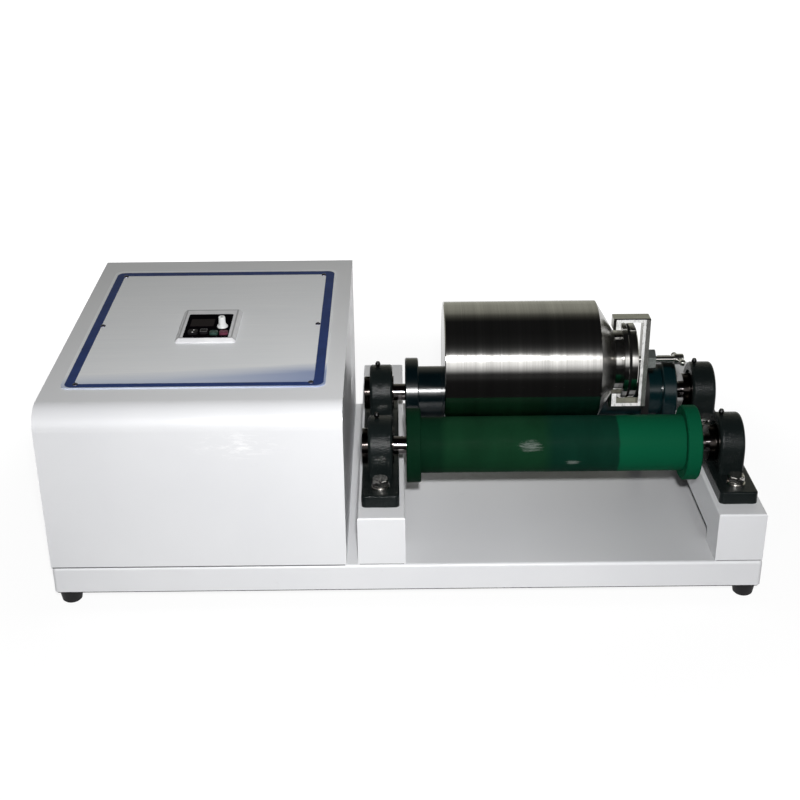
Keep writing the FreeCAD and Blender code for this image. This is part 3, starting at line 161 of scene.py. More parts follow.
class Wires:
    """Small helpers for a node tree."""

    def __init__(self, tree):
        self.tree = tree

    def add(self, kind, inputs=None, **settings):
        node = self.tree.nodes.new(kind)
        for key, value in settings.items():
            setattr(node, key, value)
        for key, value in (inputs or {}).items():
            if isinstance(value, bpy.types.NodeSocket):
                self.tree.links.new(value, node.inputs[key])
            else:
                node.inputs[key].default_value = value
        return node

    def sums(self, operation, first, second=0.0):
        return self.add("ShaderNodeMath", {0: first, 1: second}, operation=operation).outputs[0]

    def span(self, value, low, high, to_low=0.0, to_high=1.0, smooth=False):
        kind = "SMOOTHSTEP" if smooth else "LINEAR"
        return self.add("ShaderNodeMapRange", {"Value": value, "From Min": low, "From Max": high, "To Min": to_low,
                                               "To Max": to_high}, interpolation_type=kind).outputs["Result"]

    def far_from(self, spot, middle):
        """Distance between two places."""
        return self.add("ShaderNodeVectorMath", {0: spot, 1: middle}, operation="DISTANCE").outputs["Value"]


class Look(Wires):
    """One procedural material: a Principled shader and the nodes before it."""

    def __init__(self, name, colour, roughness, metallic=0.0, **sockets):
        self.material = bpy.data.materials.new(name)
        self.material.use_nodes = True
        super().__init__(self.material.node_tree)
        self.shader = self.tree.nodes["Principled BSDF"]
        self.shader.inputs["Base Color"].default_value = (*colour, 1.0)
        self.shader.inputs["Roughness"].default_value = roughness
        self.shader.inputs["Metallic"].default_value = metallic
        for socket, value in sockets.items():
            self.shader.inputs[socket.replace("_", " ")].default_value = value
        self.object_place = self.add("ShaderNodeTexCoord").outputs["Object"]

    def place(self, stretch=(1.0, 1.0, 1.0)):
        return self.add("ShaderNodeMapping", {"Vector": self.object_place, "Scale": stretch}).outputs["Vector"]

    def noise(self, scale, detail=3.0, stretch=(1.0, 1.0, 1.0), rough=0.5):
        return self.add("ShaderNodeTexNoise", {"Vector": self.place(stretch), "Scale": scale, "Detail": detail,
                                               "Roughness": rough}).outputs["Fac"]

    def axis(self, name, vector=None):
        return self.add("ShaderNodeSeparateXYZ", {"Vector": vector or self.object_place}).outputs[name]

    def facing(self, name):
        """How squarely a surface looks along an axis of the object, either way."""
        turn = self.add("ShaderNodeTexCoord").outputs["Normal"]
        return self.sums("ABSOLUTE", self.axis(name, turn))

    def within(self, value, low, high, soft):
        """1 between low and high, falling to 0 over soft inside them."""
        return self.sums("MULTIPLY", self.span(value, low, low + soft), self.span(value, high - soft, high, 1.0, 0.0))

    def blend(self, factor, first, second):
        node = self.add("ShaderNodeMix", data_type="RGBA")
        for key, value in ((0, factor), (6, first), (7, second)):
            if isinstance(value, bpy.types.NodeSocket):
                self.tree.links.new(value, node.inputs[key])
            else:
                node.inputs[key].default_value = value if key == 0 else (*value, 1.0)
        return node.outputs[2]

    def link(self, socket, value):
        self.tree.links.new(value, self.shader.inputs[socket])

    def bump(self, *layers):
        """Layers of (height, depth in metres), each laid on the one before."""
        normal = None
        for height, depth in layers:
            inputs = {"Height": height, "Distance": depth, "Strength": 1.0}
            if normal is not None:
                inputs["Normal"] = normal
            normal = self.add("ShaderNodeBump", inputs).outputs["Normal"]
        self.link("Normal", normal)


def white_paint():
    """Smooth white powder coat with slight waviness, faint tone changes, a few scuffs, and painted shade greying the
    tray towards its right end.
    """
    colour = (0.80, 0.805, 0.82)
    look = Look("white_paint", colour, 0.34, Coat_Weight=0.15, Coat_Roughness=0.25)
    tone = look.span(look.noise(5.0, 3.0), 0.35, 0.7)
    clean = look.blend(tone, colour, (0.76, 0.765, 0.785))
    dirt = look.span(look.noise(55.0, 6.0, rough=0.65), 0.66, 0.82, 0.0, 0.12)
    marked = look.blend(dirt, clean, (0.40, 0.40, 0.41))
    near = look.far_from(look.place(SCUFF_STRETCH), SCUFF_PLACE)
    patch = look.span(near, SCUFF_CORE, SCUFF_REACH, 1.0, 0.0)
    blotched = look.span(look.noise(110.0, 6.0, (0.4, 1.0, 2.0), 0.8), 0.5, 0.66, 0.0, 0.9)
    painted = look.blend(look.sums("MULTIPLY", patch, blotched), marked, (0.98, 0.98, 0.99))
    # The tray greys towards its right end: painted shade.
    tray = look.within(look.axis("Z"), TRAY_TOP - 0.0008, TRAY_TOP + 0.0008, 0.0004)
    painted_shade = look.sums("MULTIPLY", tray, look.span(look.axis("X"), SHADE_FROM, SHADE_TO, 0.0, SHADE_MOST))
    look.link("Base Color", look.blend(painted_shade, painted, (0.42, 0.42, 0.43)))
    look.link("Roughness", look.span(look.noise(22.0, 4.0), 0.3, 0.75, 0.30, 0.40))
    look.bump((look.noise(420.0, 2.0), 0.00003), (look.noise(14.0, 1.0), 0.00016))
    return look.material


def plain(name, colour, roughness, metallic=0.0, grain=300.0, depth=0.00003, spread=0.1, **sockets):
    """A material with slight tone changes and a fine surface grain."""
    look = Look(name, colour, roughness, metallic, **sockets)
    darker = tuple(c * (1.0 - spread * 2.0) for c in colour)
    look.link("Base Color", look.blend(look.span(look.noise(45.0, 4.0), 0.3, 0.7), colour, darker))
    low, high = roughness - spread / 2, roughness + spread / 2
    look.link("Roughness", look.span(look.noise(90.0, 4.0), 0.3, 0.7, max(low, 0.02), high))
    look.bump((look.noise(grain, 3.0), depth))
    return look.material


def cast_paint():
    """Dark enamel over a sand casting: coarse lumps under a half-gloss skin."""
    colour = (0.0070, 0.0100, 0.0098)
    look = Look("cast_paint", colour, 0.3, Specular_IOR_Level=0.13)
    look.link("Base Color", look.blend(look.span(look.noise(60.0, 5.0), 0.35, 0.7), colour, (0.0058, 0.0084, 0.0084)))
    grain = look.noise(260.0, 5.0, rough=0.7)
    look.link("Roughness", look.span(grain, 0.3, 0.7, 0.15, 0.27))
    look.bump((grain, 0.0005), (look.noise(700.0, 4.0), 0.00035))
    return look.material


def turned_steel(name, colour, roughness, rings=900.0, streaks=70.0, depth=0.000012, anisotropic=0.7, duller=None):
    """Lathe-turned metal about an X line: fine grooves around it and streaks that change along it.

    duller is (low x, high x, more roughness) of a stretch that is less polished, and that is also darker in colour as
    painted dark reflection.
    """
    look = Look(name, colour, roughness, 1.0, Anisotropic=anisotropic, Anisotropic_Rotation=0.25)
    tangent = look.add("ShaderNodeTangent", direction_type="RADIAL", axis="X").outputs["Tangent"]
    look.link("Tangent", tangent)
    along = (1.0, 0.0, 0.0)
    coarse = look.noise(streaks, 5.0, along, 0.7)
    fine = look.noise(rings, 4.0, along, 0.8)
    mixed = look.sums("ADD", look.sums("MULTIPLY", coarse, 0.6), look.sums("MULTIPLY", fine, 0.4))
    dull = tuple(c * 0.55 for c in colour)
    smears = look.span(look.noise(30.0, 5.0, (1.0, 0.4, 0.4), 0.65), 0.45, 0.75, 0.0, 0.35)
    shade = look.blend(look.span(mixed, 0.35, 0.65), dull, colour)
    shade = look.blend(smears, shade, tuple(c * 0.8 for c in colour))
    rough = look.span(mixed, 0.3, 0.7, roughness * 0.7, roughness * 1.4)
    if duller:
        low, high, more = duller
        there = look.within(look.axis("X"), low, high, 0.0005)
        rough = look.sums("ADD", rough, look.sums("MULTIPLY", there, more))
        # The stretch is also darker in colour: painted dark reflection.
        shade = look.blend(look.sums("MULTIPLY", there, 0.6), shade, tuple(c * 0.45 for c in colour))
    look.link("Base Color", shade)
    look.link("Roughness", rough)
    look.bump((fine, depth))
    return look.material


def flat_bar():
    """Stainless flat bar: rolled faces like a dull mirror, and faces front and back finished by grinding and painted
    white as the lamp's highlight.
    """
    colour = (0.42, 0.42, 0.38)
    look = Look("flat_bar", colour, 0.28, 1.0)
    scratches = look.noise(260.0, 6.0, (0.35, 0.35, 2.5), 0.8)
    rolled = look.blend(look.span(scratches, 0.35, 0.7), colour, (0.30, 0.30, 0.28))
    # Faces looking along Y, either way, are painted white: a painted highlight on faces finished by grinding.
    ground_and_highlight = look.span(look.facing("Y"), 0.93, 0.985)
    wear = look.span(look.noise(300.0, 5.0, (1.0, 1.0, 0.4), 0.8), 0.34, 0.52, 0.6, 1.0)
    low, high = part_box("clamp_yoke")
    x, z = look.axis("X"), look.axis("Z")
    inner_x = look.sums("MULTIPLY", look.span(x, high.x - GROUND_HIGHLIGHT_RIGHT[0], high.x - GROUND_HIGHLIGHT_RIGHT[1], 1.0, 0.25),
                        look.span(x, low.x + GROUND_HIGHLIGHT_LEFT[0], low.x + GROUND_HIGHLIGHT_LEFT[1]))
    inner_z = look.sums("MULTIPLY", look.span(z, high.z - GROUND_HIGHLIGHT_TOP[0], high.z - GROUND_HIGHLIGHT_TOP[1], 1.0, 0.0),
                        look.span(z, low.z + GROUND_HIGHLIGHT_BOTTOM[0], low.z + GROUND_HIGHLIGHT_BOTTOM[1]))
    ground_and_highlight = look.sums("MULTIPLY", look.sums("MULTIPLY", ground_and_highlight, wear), look.sums("MULTIPLY", inner_x, inner_z))
    look.link("Base Color", look.blend(ground_and_highlight, rolled, (0.84, 0.84, 0.83)))
    look.link("Metallic", look.sums("SUBTRACT", 1.0, ground_and_highlight))
    look.link("Roughness", look.span(scratches, 0.3, 0.7, 0.14, 0.26))
    look.bump((scratches, 0.00004))
    return look.material


def nut_zinc():
    """Dull zinc whose flats differ by painted light: the one that faces the room is painted paler, as if lit, than
    those above and below it.
    """
    look = Look("nut_zinc", (0.24, 0.26, 0.25), 0.33, 0.35)
    # Flats turned up or down are darker than those facing front and back: painted light and shade.
    flat = look.span(look.facing("Z"), 0.30, 0.45)
    spots = look.span(look.noise(260.0, 5.0, rough=0.8), 0.44, 0.62, 0.0, 0.6)
    tone = look.blend(flat, (0.25, 0.27, 0.26), (0.10, 0.11, 0.105))
    look.link("Base Color", look.blend(spots, tone, (0.05, 0.055, 0.05)))
    look.link("Roughness", look.span(look.noise(90.0, 4.0), 0.3, 0.7, 0.25, 0.42))
    look.bump((look.noise(500.0, 3.0), 0.00002))
    return look.material


def roller_rubber(name, base_tone, jar_shade_tones, roughness, level):
    """Ground green rubber in its own tone at the right end; left of it, under the jar, darker bands of painted shade
    and painted dark reflection of the jar.
    """
    look = Look(name, base_tone, roughness, Specular_IOR_Level=level)
    x = look.axis("X")
    edge = look.sums("ADD", x, look.sums("MULTIPLY", look.noise(60.0, 2.0), 0.004))
    cloud = look.span(look.noise(24.0, 5.0, (1.0, 0.4, 0.4), 0.65), 0.35, 0.7)
    colour = look.blend(cloud, jar_shade_tones[0], tuple(c * 0.75 for c in jar_shade_tones[0]))
    # Left of the right end, the bands under the jar are darker: painted shade and painted dark reflection of the jar.
    for place, soft, tone in zip(RUBBER_BANDS, BAND_CHANGES, (jar_shade_tones[1], jar_shade_tones[2], base_tone)):
        blotched = look.blend(cloud, tone, tuple(c * 0.72 for c in tone)) if tone is not base_tone else tone
        colour = look.blend(look.span(edge, place - soft, place + soft), colour, blotched)
    scuffs = look.noise(40.0, 8.0, (0.25, 1.6, 1.6), 0.75)
    torn = look.noise(420.0, 6.0, (0.22, 1.0, 1.3), 0.8)
    marks = []
    for place, reach, depth in SCRAPES:
        inside = look.span(look.far_from(look.place(SCRAPE_STRETCH), place), 0.0, reach, 1.0, 0.0)
        marks.append((look.sums("MULTIPLY", inside, torn), depth))
        # The torn spots are lighter in colour: real torn rubber, with its glint painted in.
        torn_and_glint = look.span(look.sums("MULTIPLY", look.sums("POWER", inside, 0.6), torn), 0.33, 0.48, 0.0, 0.7)
        colour = look.blend(torn_and_glint, colour, (0.17, 0.20, 0.18))
    look.link("Base Color", colour)
    look.link("Roughness", look.span(scuffs, 0.35, 0.7, roughness * 0.7, roughness * 1.35))
    look.bump((look.noise(900.0, 3.0, (1.0, 0.05, 0.05)), 0.00001), (scuffs, 0.00012), *marks)
    return look.material


def plate_outline(look, low_x, high_x, low_y, high_y, corner):
    """Signed distance in metres from a rounded rectangle on the sloping top, in the plate's own mm."""
    x = look.sums("SUBTRACT", look.axis("X"), LEFT)
    level = look.sums("MULTIPLY", look.sums("SUBTRACT", look.axis("Z"), TOP_FRONT_Z), math.sin(TOP_TILT))
    y = look.sums("ADD", look.sums("MULTIPLY", look.sums("ADD", look.axis("Y"), BACK), math.cos(TOP_TILT)), level)
    gaps = []
    for value, low, high in ((x, low_x, high_x), (y, low_y, high_y)):
        middle, half = (low + high) / 2 * MM, (high - low) / 2 * MM - corner * MM
        gaps.append(look.sums("SUBTRACT", look.sums("ABSOLUTE", look.sums("SUBTRACT", value, middle)), half))
    over = [look.sums("MAXIMUM", gap, 0.0) for gap in gaps]
    length = look.sums("SQRT", look.sums("ADD", look.sums("POWER", over[0], 2.0), look.sums("POWER", over[1], 2.0)))
    inner = look.sums("MINIMUM", look.sums("MAXIMUM", gaps[0], gaps[1]), 0.0)
    return look.sums("SUBTRACT", look.sums("ADD", length, inner), corner * MM)


def control_plate():
    """Brushed silver plate with a printed dark blue frame, and a bluish tint over its front."""
    silver = (0.93, 0.94, 0.95)
    look = Look("panel_aluminium", silver, 0.34, 0.1, Specular_IOR_Level=0.06)
    brush = look.noise(500.0, 4.0, (0.02, 1.0, 1.0), 0.7)
    cloud = look.span(look.noise(9.0, 3.0), 0.35, 0.7, 0.0, 0.5)
    metal = look.blend(look.span(brush, 0.3, 0.7), silver, (0.87, 0.88, 0.90))
    metal = look.blend(cloud, metal, (0.86, 0.88, 0.90))
    x, y = look.axis("X"), look.axis("Y")
    line = look.sums("ADD", y, look.sums("MULTIPLY", x, TINT_SLANT))
    line = look.sums("ADD", line, look.span(x, *TINT_REACH))
    streak = look.sums("MULTIPLY", look.noise(70.0, 3.0, (0.08, 1.0, 1.0)), TINT_WAVES)
    bluish = look.span(look.sums("ADD", line, streak), *TINT_EDGE)
    bluish_tone = look.blend(look.span(x, *TINT_DEEPER), (0.52, 0.58, 0.72), (0.28, 0.35, 0.56))
    metal = look.blend(bluish, metal, bluish_tone)
    ink = look.sums("MULTIPLY", look.span(plate_outline(look, *PRINT_OUTER), -PRINT_SOFT, PRINT_SOFT, 1.0, 0.0),
                    look.span(plate_outline(look, *PRINT_INNER), -PRINT_SOFT, PRINT_SOFT))
    blue = look.blend(look.span(look.noise(60.0, 4.0), 0.3, 0.7), (0.020, 0.046, 0.180), (0.015, 0.035, 0.137))
    look.link("Base Color", look.blend(ink, metal, blue))
    look.link("Metallic", look.sums("MULTIPLY", look.sums("SUBTRACT", 1.0, ink), 0.1))
    look.link("Roughness", look.span(brush, 0.3, 0.7, 0.28, 0.40))
    look.bump((brush, 0.000004), (ink, 0.00005))
    return look.material


def bezel_plastic():
    """Pale grey moulding, darkened as painted shade in a line round it between the outer bevel and the rim at the
    face, and along its front edge.
    """
    colour = (0.80, 0.80, 0.81)
    look = Look("bezel_plastic", colour, 0.4, Specular_IOR_Level=0.3)
    # Two lines are painted dark as shade: one round the face, and one along the front edge.
    inside = look.sums("ABSOLUTE", look.sums("ADD", plate_outline(look, *BEZEL_RIM), BEZEL_SHADE_LINE))
    shade_line = look.span(inside, 0.0005, 0.0012, 0.75, 0.0)
    front = look.sums("ABSOLUTE", plate_outline(look, *BEZEL_FRONT))
    shade_line = look.sums("MAXIMUM", shade_line, look.span(front, 0.0004, 0.0011, 0.6, 0.0))
    tone = look.blend(look.span(look.noise(60.0, 4.0), 0.3, 0.7), colour, (0.70, 0.70, 0.72))
    look.link("Base Color", look.blend(shade_line, tone, (0.26, 0.26, 0.27)))
    look.link("Roughness", look.span(look.noise(120.0, 4.0), 0.3, 0.7, 0.35, 0.48))
    look.bump((look.noise(900.0, 3.0), 0.00002))
    return look.material


JAR_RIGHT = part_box("jar_body")[1].x

MATERIALS = {
    "white_paint": white_paint(),
    "plate_paint": plain("plate_paint", (0.012, 0.010, 0.010), 0.5),
    "foot_rubber": plain("foot_rubber", (0.008, 0.008, 0.009), 0.6, Specular_IOR_Level=0.3),
    "zinc_steel": plain("zinc_steel", (0.66, 0.64, 0.61), 0.13, 1.0, 700.0, 0.00001),
    "black_plastic": plain("black_plastic", (0.02, 0.02, 0.022), 0.45),
    "switch_plastic": plain("switch_plastic", (0.03, 0.03, 0.032), 0.3),
    "panel_aluminium": control_plate(),
    "bezel_plastic": bezel_plastic(),
    "face_plastic": plain("face_plastic", (0.0035, 0.003, 0.004), 0.4, Specular_IOR_Level=0.0),
    "display_plastic": plain("display_plastic", (0.010, 0.006, 0.008), 0.12, Specular_IOR_Level=0.02),
    "grey_key_plastic": plain("grey_key_plastic", (0.012, 0.011, 0.013), 0.45, Specular_IOR_Level=0.06),
    "green_key_plastic": plain("green_key_plastic", (0.025, 0.06, 0.048), 0.45, Specular_IOR_Level=0.3),
    "red_key_plastic": plain("red_key_plastic", (0.13, 0.03, 0.055), 0.45, Specular_IOR_Level=0.3),
    "knob_plastic": plain("knob_plastic", (0.86, 0.87, 0.86), 0.35),
    "motor_paint": plain("motor_paint", (0.03, 0.032, 0.035), 0.4),
    "gearbox_aluminium": plain("gearbox_aluminium", (0.5, 0.5, 0.5), 0.45, 1.0),
    "pulley_aluminium": plain("pulley_aluminium", (0.6, 0.6, 0.6), 0.35, 1.0),
    "belt_rubber": plain("belt_rubber", (0.006, 0.006, 0.006), 0.6, Specular_IOR_Level=0.2),
    "cast_paint": cast_paint(),
    # Bearing and shaft steel are coloured very dark: painted dark reflection of the room around them.
    "bearing_steel": turned_steel("bearing_steel", (0.035, 0.030, 0.028), 0.12, anisotropic=0.3),
    "nipple_steel": plain("nipple_steel", (0.02, 0.02, 0.02), 0.35, 1.0),
    "shaft_steel": turned_steel("shaft_steel", (0.13, 0.12, 0.12), 0.10, anisotropic=0.4),
    "core_steel": plain("core_steel", (0.05, 0.05, 0.05), 0.4, 1.0),
    "front_roller_rubber": roller_rubber("front_roller_rubber", (0.0026, 0.073, 0.033),
                                         ((0.003, 0.021, 0.0095), (0.0055, 0.033, 0.014), (0.0035, 0.028, 0.017)),
                                         0.55, 0.012),
    "rear_roller_rubber": roller_rubber("rear_roller_rubber", (0.0010, 0.010, 0.012),
                                        ((0.0008, 0.0042, 0.0056),) * 3, 0.22, 0.32),
    "jar_steel": turned_steel("jar_steel", (0.56, 0.55, 0.53), 0.125,
                              duller=(JAR_RIGHT - CONE_START, JAR_RIGHT - CONE_END, CONE_DULLER)),
    "screw_steel": plain("screw_steel", (0.5, 0.49, 0.47), 0.2, 1.0),
    "gasket_rubber": plain("gasket_rubber", (0.006, 0.006, 0.006), 0.6, Specular_IOR_Level=0.05),
    "ball_steel": plain("ball_steel", (0.65, 0.65, 0.65), 0.12, 1.0),
}
SHADOW = plain("seam_shadow", (0.16, 0.16, 0.165), 0.6)
LAMP_GLASS = plain("lamp_glass", (0.75, 0.75, 0.74), 0.2)
RING = plain("ring_print", (0.09, 0.09, 0.095), 0.4)
SEAL = plain("seal_rubber", (0.008, 0.007, 0.007), 0.45, Specular_IOR_Level=0.3)
# Nodes that look unlike the rest of their material slot.
OWN_LOOKS = {
    "clamp_yoke": flat_bar(),
    "yoke_nut": nut_zinc(),
    "panel_screws": plain("dark_screw", (0.11, 0.11, 0.15), 0.25, 1.0, 700.0, 0.00001),
}


def dress_nodes():
    slots = {part["node"]: part["material_slot"] for part in frame["record"]["subparts"]}
    for name, node in nodes.items():
        node.data.materials.clear()
        node.data.materials.append(OWN_LOOKS.get(name) or MATERIALS[slots[name]])


# Pieces that the solids leave out.


def add_mesh(name, verts, faces, material, body, slot_name=None):
    mesh = bpy.data.meshes.new(name)
    mesh.from_pydata(verts, [], faces)
    mesh.update()
    obj = bpy.data.objects.new(name, mesh)
    bpy.context.scene.collection.objects.link(obj)
    mesh.materials.append(material)
    shaped = bmesh.new()
    shaped.from_mesh(mesh)
    bmesh.ops.remove_doubles(shaped, verts=shaped.verts, dist=1e-6)
    bmesh.ops.recalc_face_normals(shaped, faces=shaped.faces)
    shaped.to_mesh(mesh)
    shaped.free()
    mesh.shade_smooth()
    mesh.set_sharp_from_angle(angle=SMOOTH_ANGLE)
    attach(obj, body)
    return obj


def bands(rings, steps):
    """Faces between rings of vertices that follow one another."""
    return [(ring * steps + k, ring * steps + (k + 1) % steps, (ring + 1) * steps + (k + 1) % steps,
             (ring + 1) * steps + k) for ring in range(rings - 1) for k in range(steps)]


def turned(outline, place, axis, steps, wave=None):
    """Vertices and faces of a (radius, height) outline turned round an axis through place."""
    axis = Vector(axis).normalized()
    side = axis.orthogonal().normalized()
    other = axis.cross(side)
    verts = []
    for radius, height in outline:
        for k in range(steps):
            angle = 2 * math.pi * k / steps
            reach = radius * (wave(angle, height) if wave else 1.0)
            verts.append(place + axis * height + (side * math.cos(angle) + other * math.sin(angle)) * reach)
    faces = bands(len(outline), steps)
    if outline[0][0] > 0 and outline[0] != outline[-1]:
        faces += [tuple(range(steps)), tuple(range(len(verts) - steps, len(verts)))]
    return [tuple(v) for v in verts], faces


def joined(parts):
    verts, faces = [], []
    for part_verts, part_faces in parts:
        faces += [tuple(i + len(verts) for i in face) for face in part_faces]
        verts += part_verts
    return verts, faces


def slab(place, right, up, outward, width, height, depth, bevel):
    """A block with bevelled front edges, lying on place; its front looks along outward."""
    outline = []
    for inset, level in ((0.0, 0.0), (0.0, depth - bevel), (bevel * 0.3, depth - bevel * 0.3), (bevel, depth)):
        half_w, half_h = width / 2 - inset, height / 2 - inset
        outline += [place + right * (sx * half_w) + up * (sy * half_h) + outward * level
                    for sx, sy in ((-1, -1), (1, -1), (1, 1), (-1, 1))]
    return [tuple(v) for v in outline], [(0, 3, 2, 1), (12, 13, 14, 15)] + bands(4, 4)


def top_frame():
    """Axes of the sloping cabinet top: to the right, up the slope, and out of it."""
    run, rise = math.cos(TOP_TILT), math.sin(TOP_TILT)
    return Vector((1, 0, 0)), Vector((0, run, rise)), Vector((0, -rise, run))


def top_spot(name):
    """The middle of a piece on the sloping top, at its lowest level and at its highest."""
    right, up, out = top_frame()
    points = [vertex.co for vertex in nodes[name].data.vertices]
    levels = [point.dot(out) for point in points]
    across = [point.x for point in points]
    along = [point.dot(up) for point in points]
    middle = right * ((min(across) + max(across)) / 2) + up * ((min(along) + max(along)) / 2)
    return middle + out * min(levels), middle + out * max(levels)


def make_knob():
    """White knob with a flared foot, fine flutes and a dark pointer, in place of the plain one."""
    right, up, out = top_frame()
    bottom, top = top_spot("speed_knob")
    stem = (top - bottom).length - KNOB_HEIGHT - KNOB_DROP
    h, r, skirt, crown = KNOB_HEIGHT, KNOB_TOP_RADIUS, KNOB_SKIRT_RADIUS, stem + KNOB_HEIGHT
    outline = [(0.0, KNOB_CLEAR), (KNOB_STEM_RADIUS, KNOB_CLEAR), (KNOB_STEM_RADIUS, stem),
               (skirt * 0.97, stem), (skirt, stem + 0.0004), (skirt * 0.99, stem + 0.0012),
               (skirt * 0.90, stem + 0.0022), (r * 1.14, stem + h * 0.26), (r * 1.06, stem + h * 0.42),
               (r * 1.02, stem + h * 0.68), (r, crown - 0.0009), (r * 0.95, crown - 0.0003), (r * 0.86, crown),
               (r * 0.78, crown), (r * 0.72, crown - 0.0003), (0.0, crown - 0.0003)]

    def flutes(angle, height):
        deep = FLUTE_DEPTH if stem + h * 0.3 < height < crown - 0.0005 else 0.0
        return 1.0 - deep * (0.5 + 0.5 * math.cos(FLUTE_COUNT * angle))

    verts, faces = turned(outline, bottom, out, KNOB_STEPS, flutes)
    knob = add_mesh("turned_knob", verts, faces, MATERIALS["knob_plastic"], "speed_knob", "knob_plastic")
    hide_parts("speed_knob")
    pointer = slab(bottom + out * (crown - 0.0003) + up * (r * 0.42), right, up, out,
                   POINTER_WIDTH, r * 0.62, POINTER_RISE, POINTER_BEVEL)
    add_mesh("knob_pointer", *pointer, SHADOW, "speed_knob", "knob_plastic")


def make_key_marks():
    """Two lamps in the mode key, a raised square ring on the key beside it, and rims on the other two."""
    right, up, out = top_frame()
    top = top_spot("mode_key")[1]
    lamps = [turned(LAMP_PROFILE, top + right * side + up * along, out, 20) for side, along in LAMP_SPOTS]
    add_mesh("mode_lamps", *joined(lamps), LAMP_GLASS, "mode_key")
    top = top_spot("select_key")[1]
    bars = []
    long, short = 2 * RING_REACH + RING_BAR, 2 * RING_REACH - RING_BAR
    for sx, sy, wide, tall in ((0, -1, long, RING_BAR), (0, 1, long, RING_BAR),
                               (-1, 0, RING_BAR, short), (1, 0, RING_BAR, short)):
        place = top + right * (sx * RING_REACH) + up * (sy * RING_REACH)
        bars.append(slab(place, right, up, out, wide, tall, RING_RISE, RING_BEVEL))
    add_mesh("select_ring", *joined(bars), RING, "select_key", "grey_key_plastic")
    for name, tint in (("run_key", "green_key_plastic"), ("stop_key", "red_key_plastic")):
        add_mesh(name + "_rim", *turned(RIM_PROFILE, top_spot(name)[1], out, 40), MATERIALS[tint], name, tint)


def make_seams():
    """Thin dark strips of painted shadow along the joints where the cabinet and the risers stand on the tray, half as
    tall at the risers.
    """
    bars = []
    x, y, z = Vector((1, 0, 0)), Vector((0, 1, 0)), Vector((0, 0, 1))
    for name in ("cabinet_cover", "left_riser", "right_riser"):
        low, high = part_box(name)
        width = high.x - low.x - 2 * SEAM_INSET
        tall = SEAM_HEIGHT if name == "cabinet_cover" else SEAM_HEIGHT * 0.5
        place = Vector(((low.x + high.x) / 2, low.y, low.z + tall / 2))
        bars.append(slab(place, x, z, -y, width, tall, SEAM_PROUD, SEAM_PROUD / 3))
    add_mesh("joint_shadow_lines", *joined(bars), SHADOW, "frame", "white_paint")


def hexagon_head(place, flats, rise):
    """A bolt head with its corners turned away at the top."""
    steps, corner = HEAD_STEPS, flats / math.sqrt(3)
    verts = []
    # Shares of the height, and the reach allowed there as a share of half the width over the flats.
    for level, most in ((0.0, 2.0), (0.72, 2.0), (0.90, 1.12), (1.0, 0.97)):
        for k in range(steps):
            angle = 2 * math.pi * k / steps
            fold = (angle + math.pi / 6) % (math.pi / 3) - math.pi / 6
            reach = min(flats / 2 / math.cos(fold), corner, flats / 2 * most)
            verts.append(tuple(place + Vector((math.cos(angle) * reach, math.sin(angle) * reach, rise * level))))
    return verts, [tuple(range(steps)), tuple(3 * steps + k for k in range(steps))] + bands(4, steps)


def bolt_spots():
    """Middles of the washers' upper faces, found from the solids."""
    cell_x, cell_y, apart = 0.05, 0.04, 0.03
    cells = {}
    for vertex in nodes["housing_washers"].data.vertices:
        cells.setdefault((round(vertex.co.x / cell_x), round(vertex.co.y / cell_y)), []).append(vertex.co)
    groups = []
    for points in cells.values():
        for group in groups:
            if (group[0] - points[0]).length < apart:
                group += points
                break
        else:
            groups.append(list(points))
    middles = []
    for group in groups:
        low = Vector(map(min, zip(*[tuple(p) for p in group])))
        high = Vector(map(max, zip(*[tuple(p) for p in group])))
        middles.append(Vector(((low.x + high.x) / 2, (low.y + high.y) / 2, high.z)))
    return middles


def make_bolt_heads():
    """Hexagon heads with turned-away corners, in place of the plain ones."""
    parts = []
    low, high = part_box("housing_bolts")
    for spot in bolt_spots():
        parts.append(hexagon_head(spot, HEAD_FLATS, high.z - spot.z))
        tip = low.z - spot.z
        shank = [(0.0, tip), (SHANK_TIP, tip), (SHANK_RADIUS, tip + SHANK_CHAMFER), (SHANK_RADIUS, SHANK_OVERLAP)]
        parts.append(turned(shank, spot, (0, 0, 1), 24))
    bolts = add_mesh("hexagon_bolts", *joined(parts), MATERIALS["zinc_steel"], "frame", "zinc_steel")
    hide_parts("housing_bolts")


def make_bearing_seals():
    """Coned rubber seals between the rings of the four bearings, on both sides of each."""
    seals = []
    for side in ("front", "rear"):
        ring_low, ring_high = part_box(side + "_bearing_inner_rings")
        for end in ("left", "right"):
            low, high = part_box("bearing_housing_%s_%s" % (side, end))
            middle = Vector(((low.x + high.x) / 2, (ring_low.y + ring_high.y) / 2, (ring_low.z + ring_high.z) / 2))
            for way in (-1, 1):
                seals.append(turned(SEAL_PROFILE, middle, (way, 0, 0), 64))
    add_mesh("bearing_seals", *joined(seals), SEAL, "frame", "bearing_steel")


# Stage: floor, lights and surroundings.


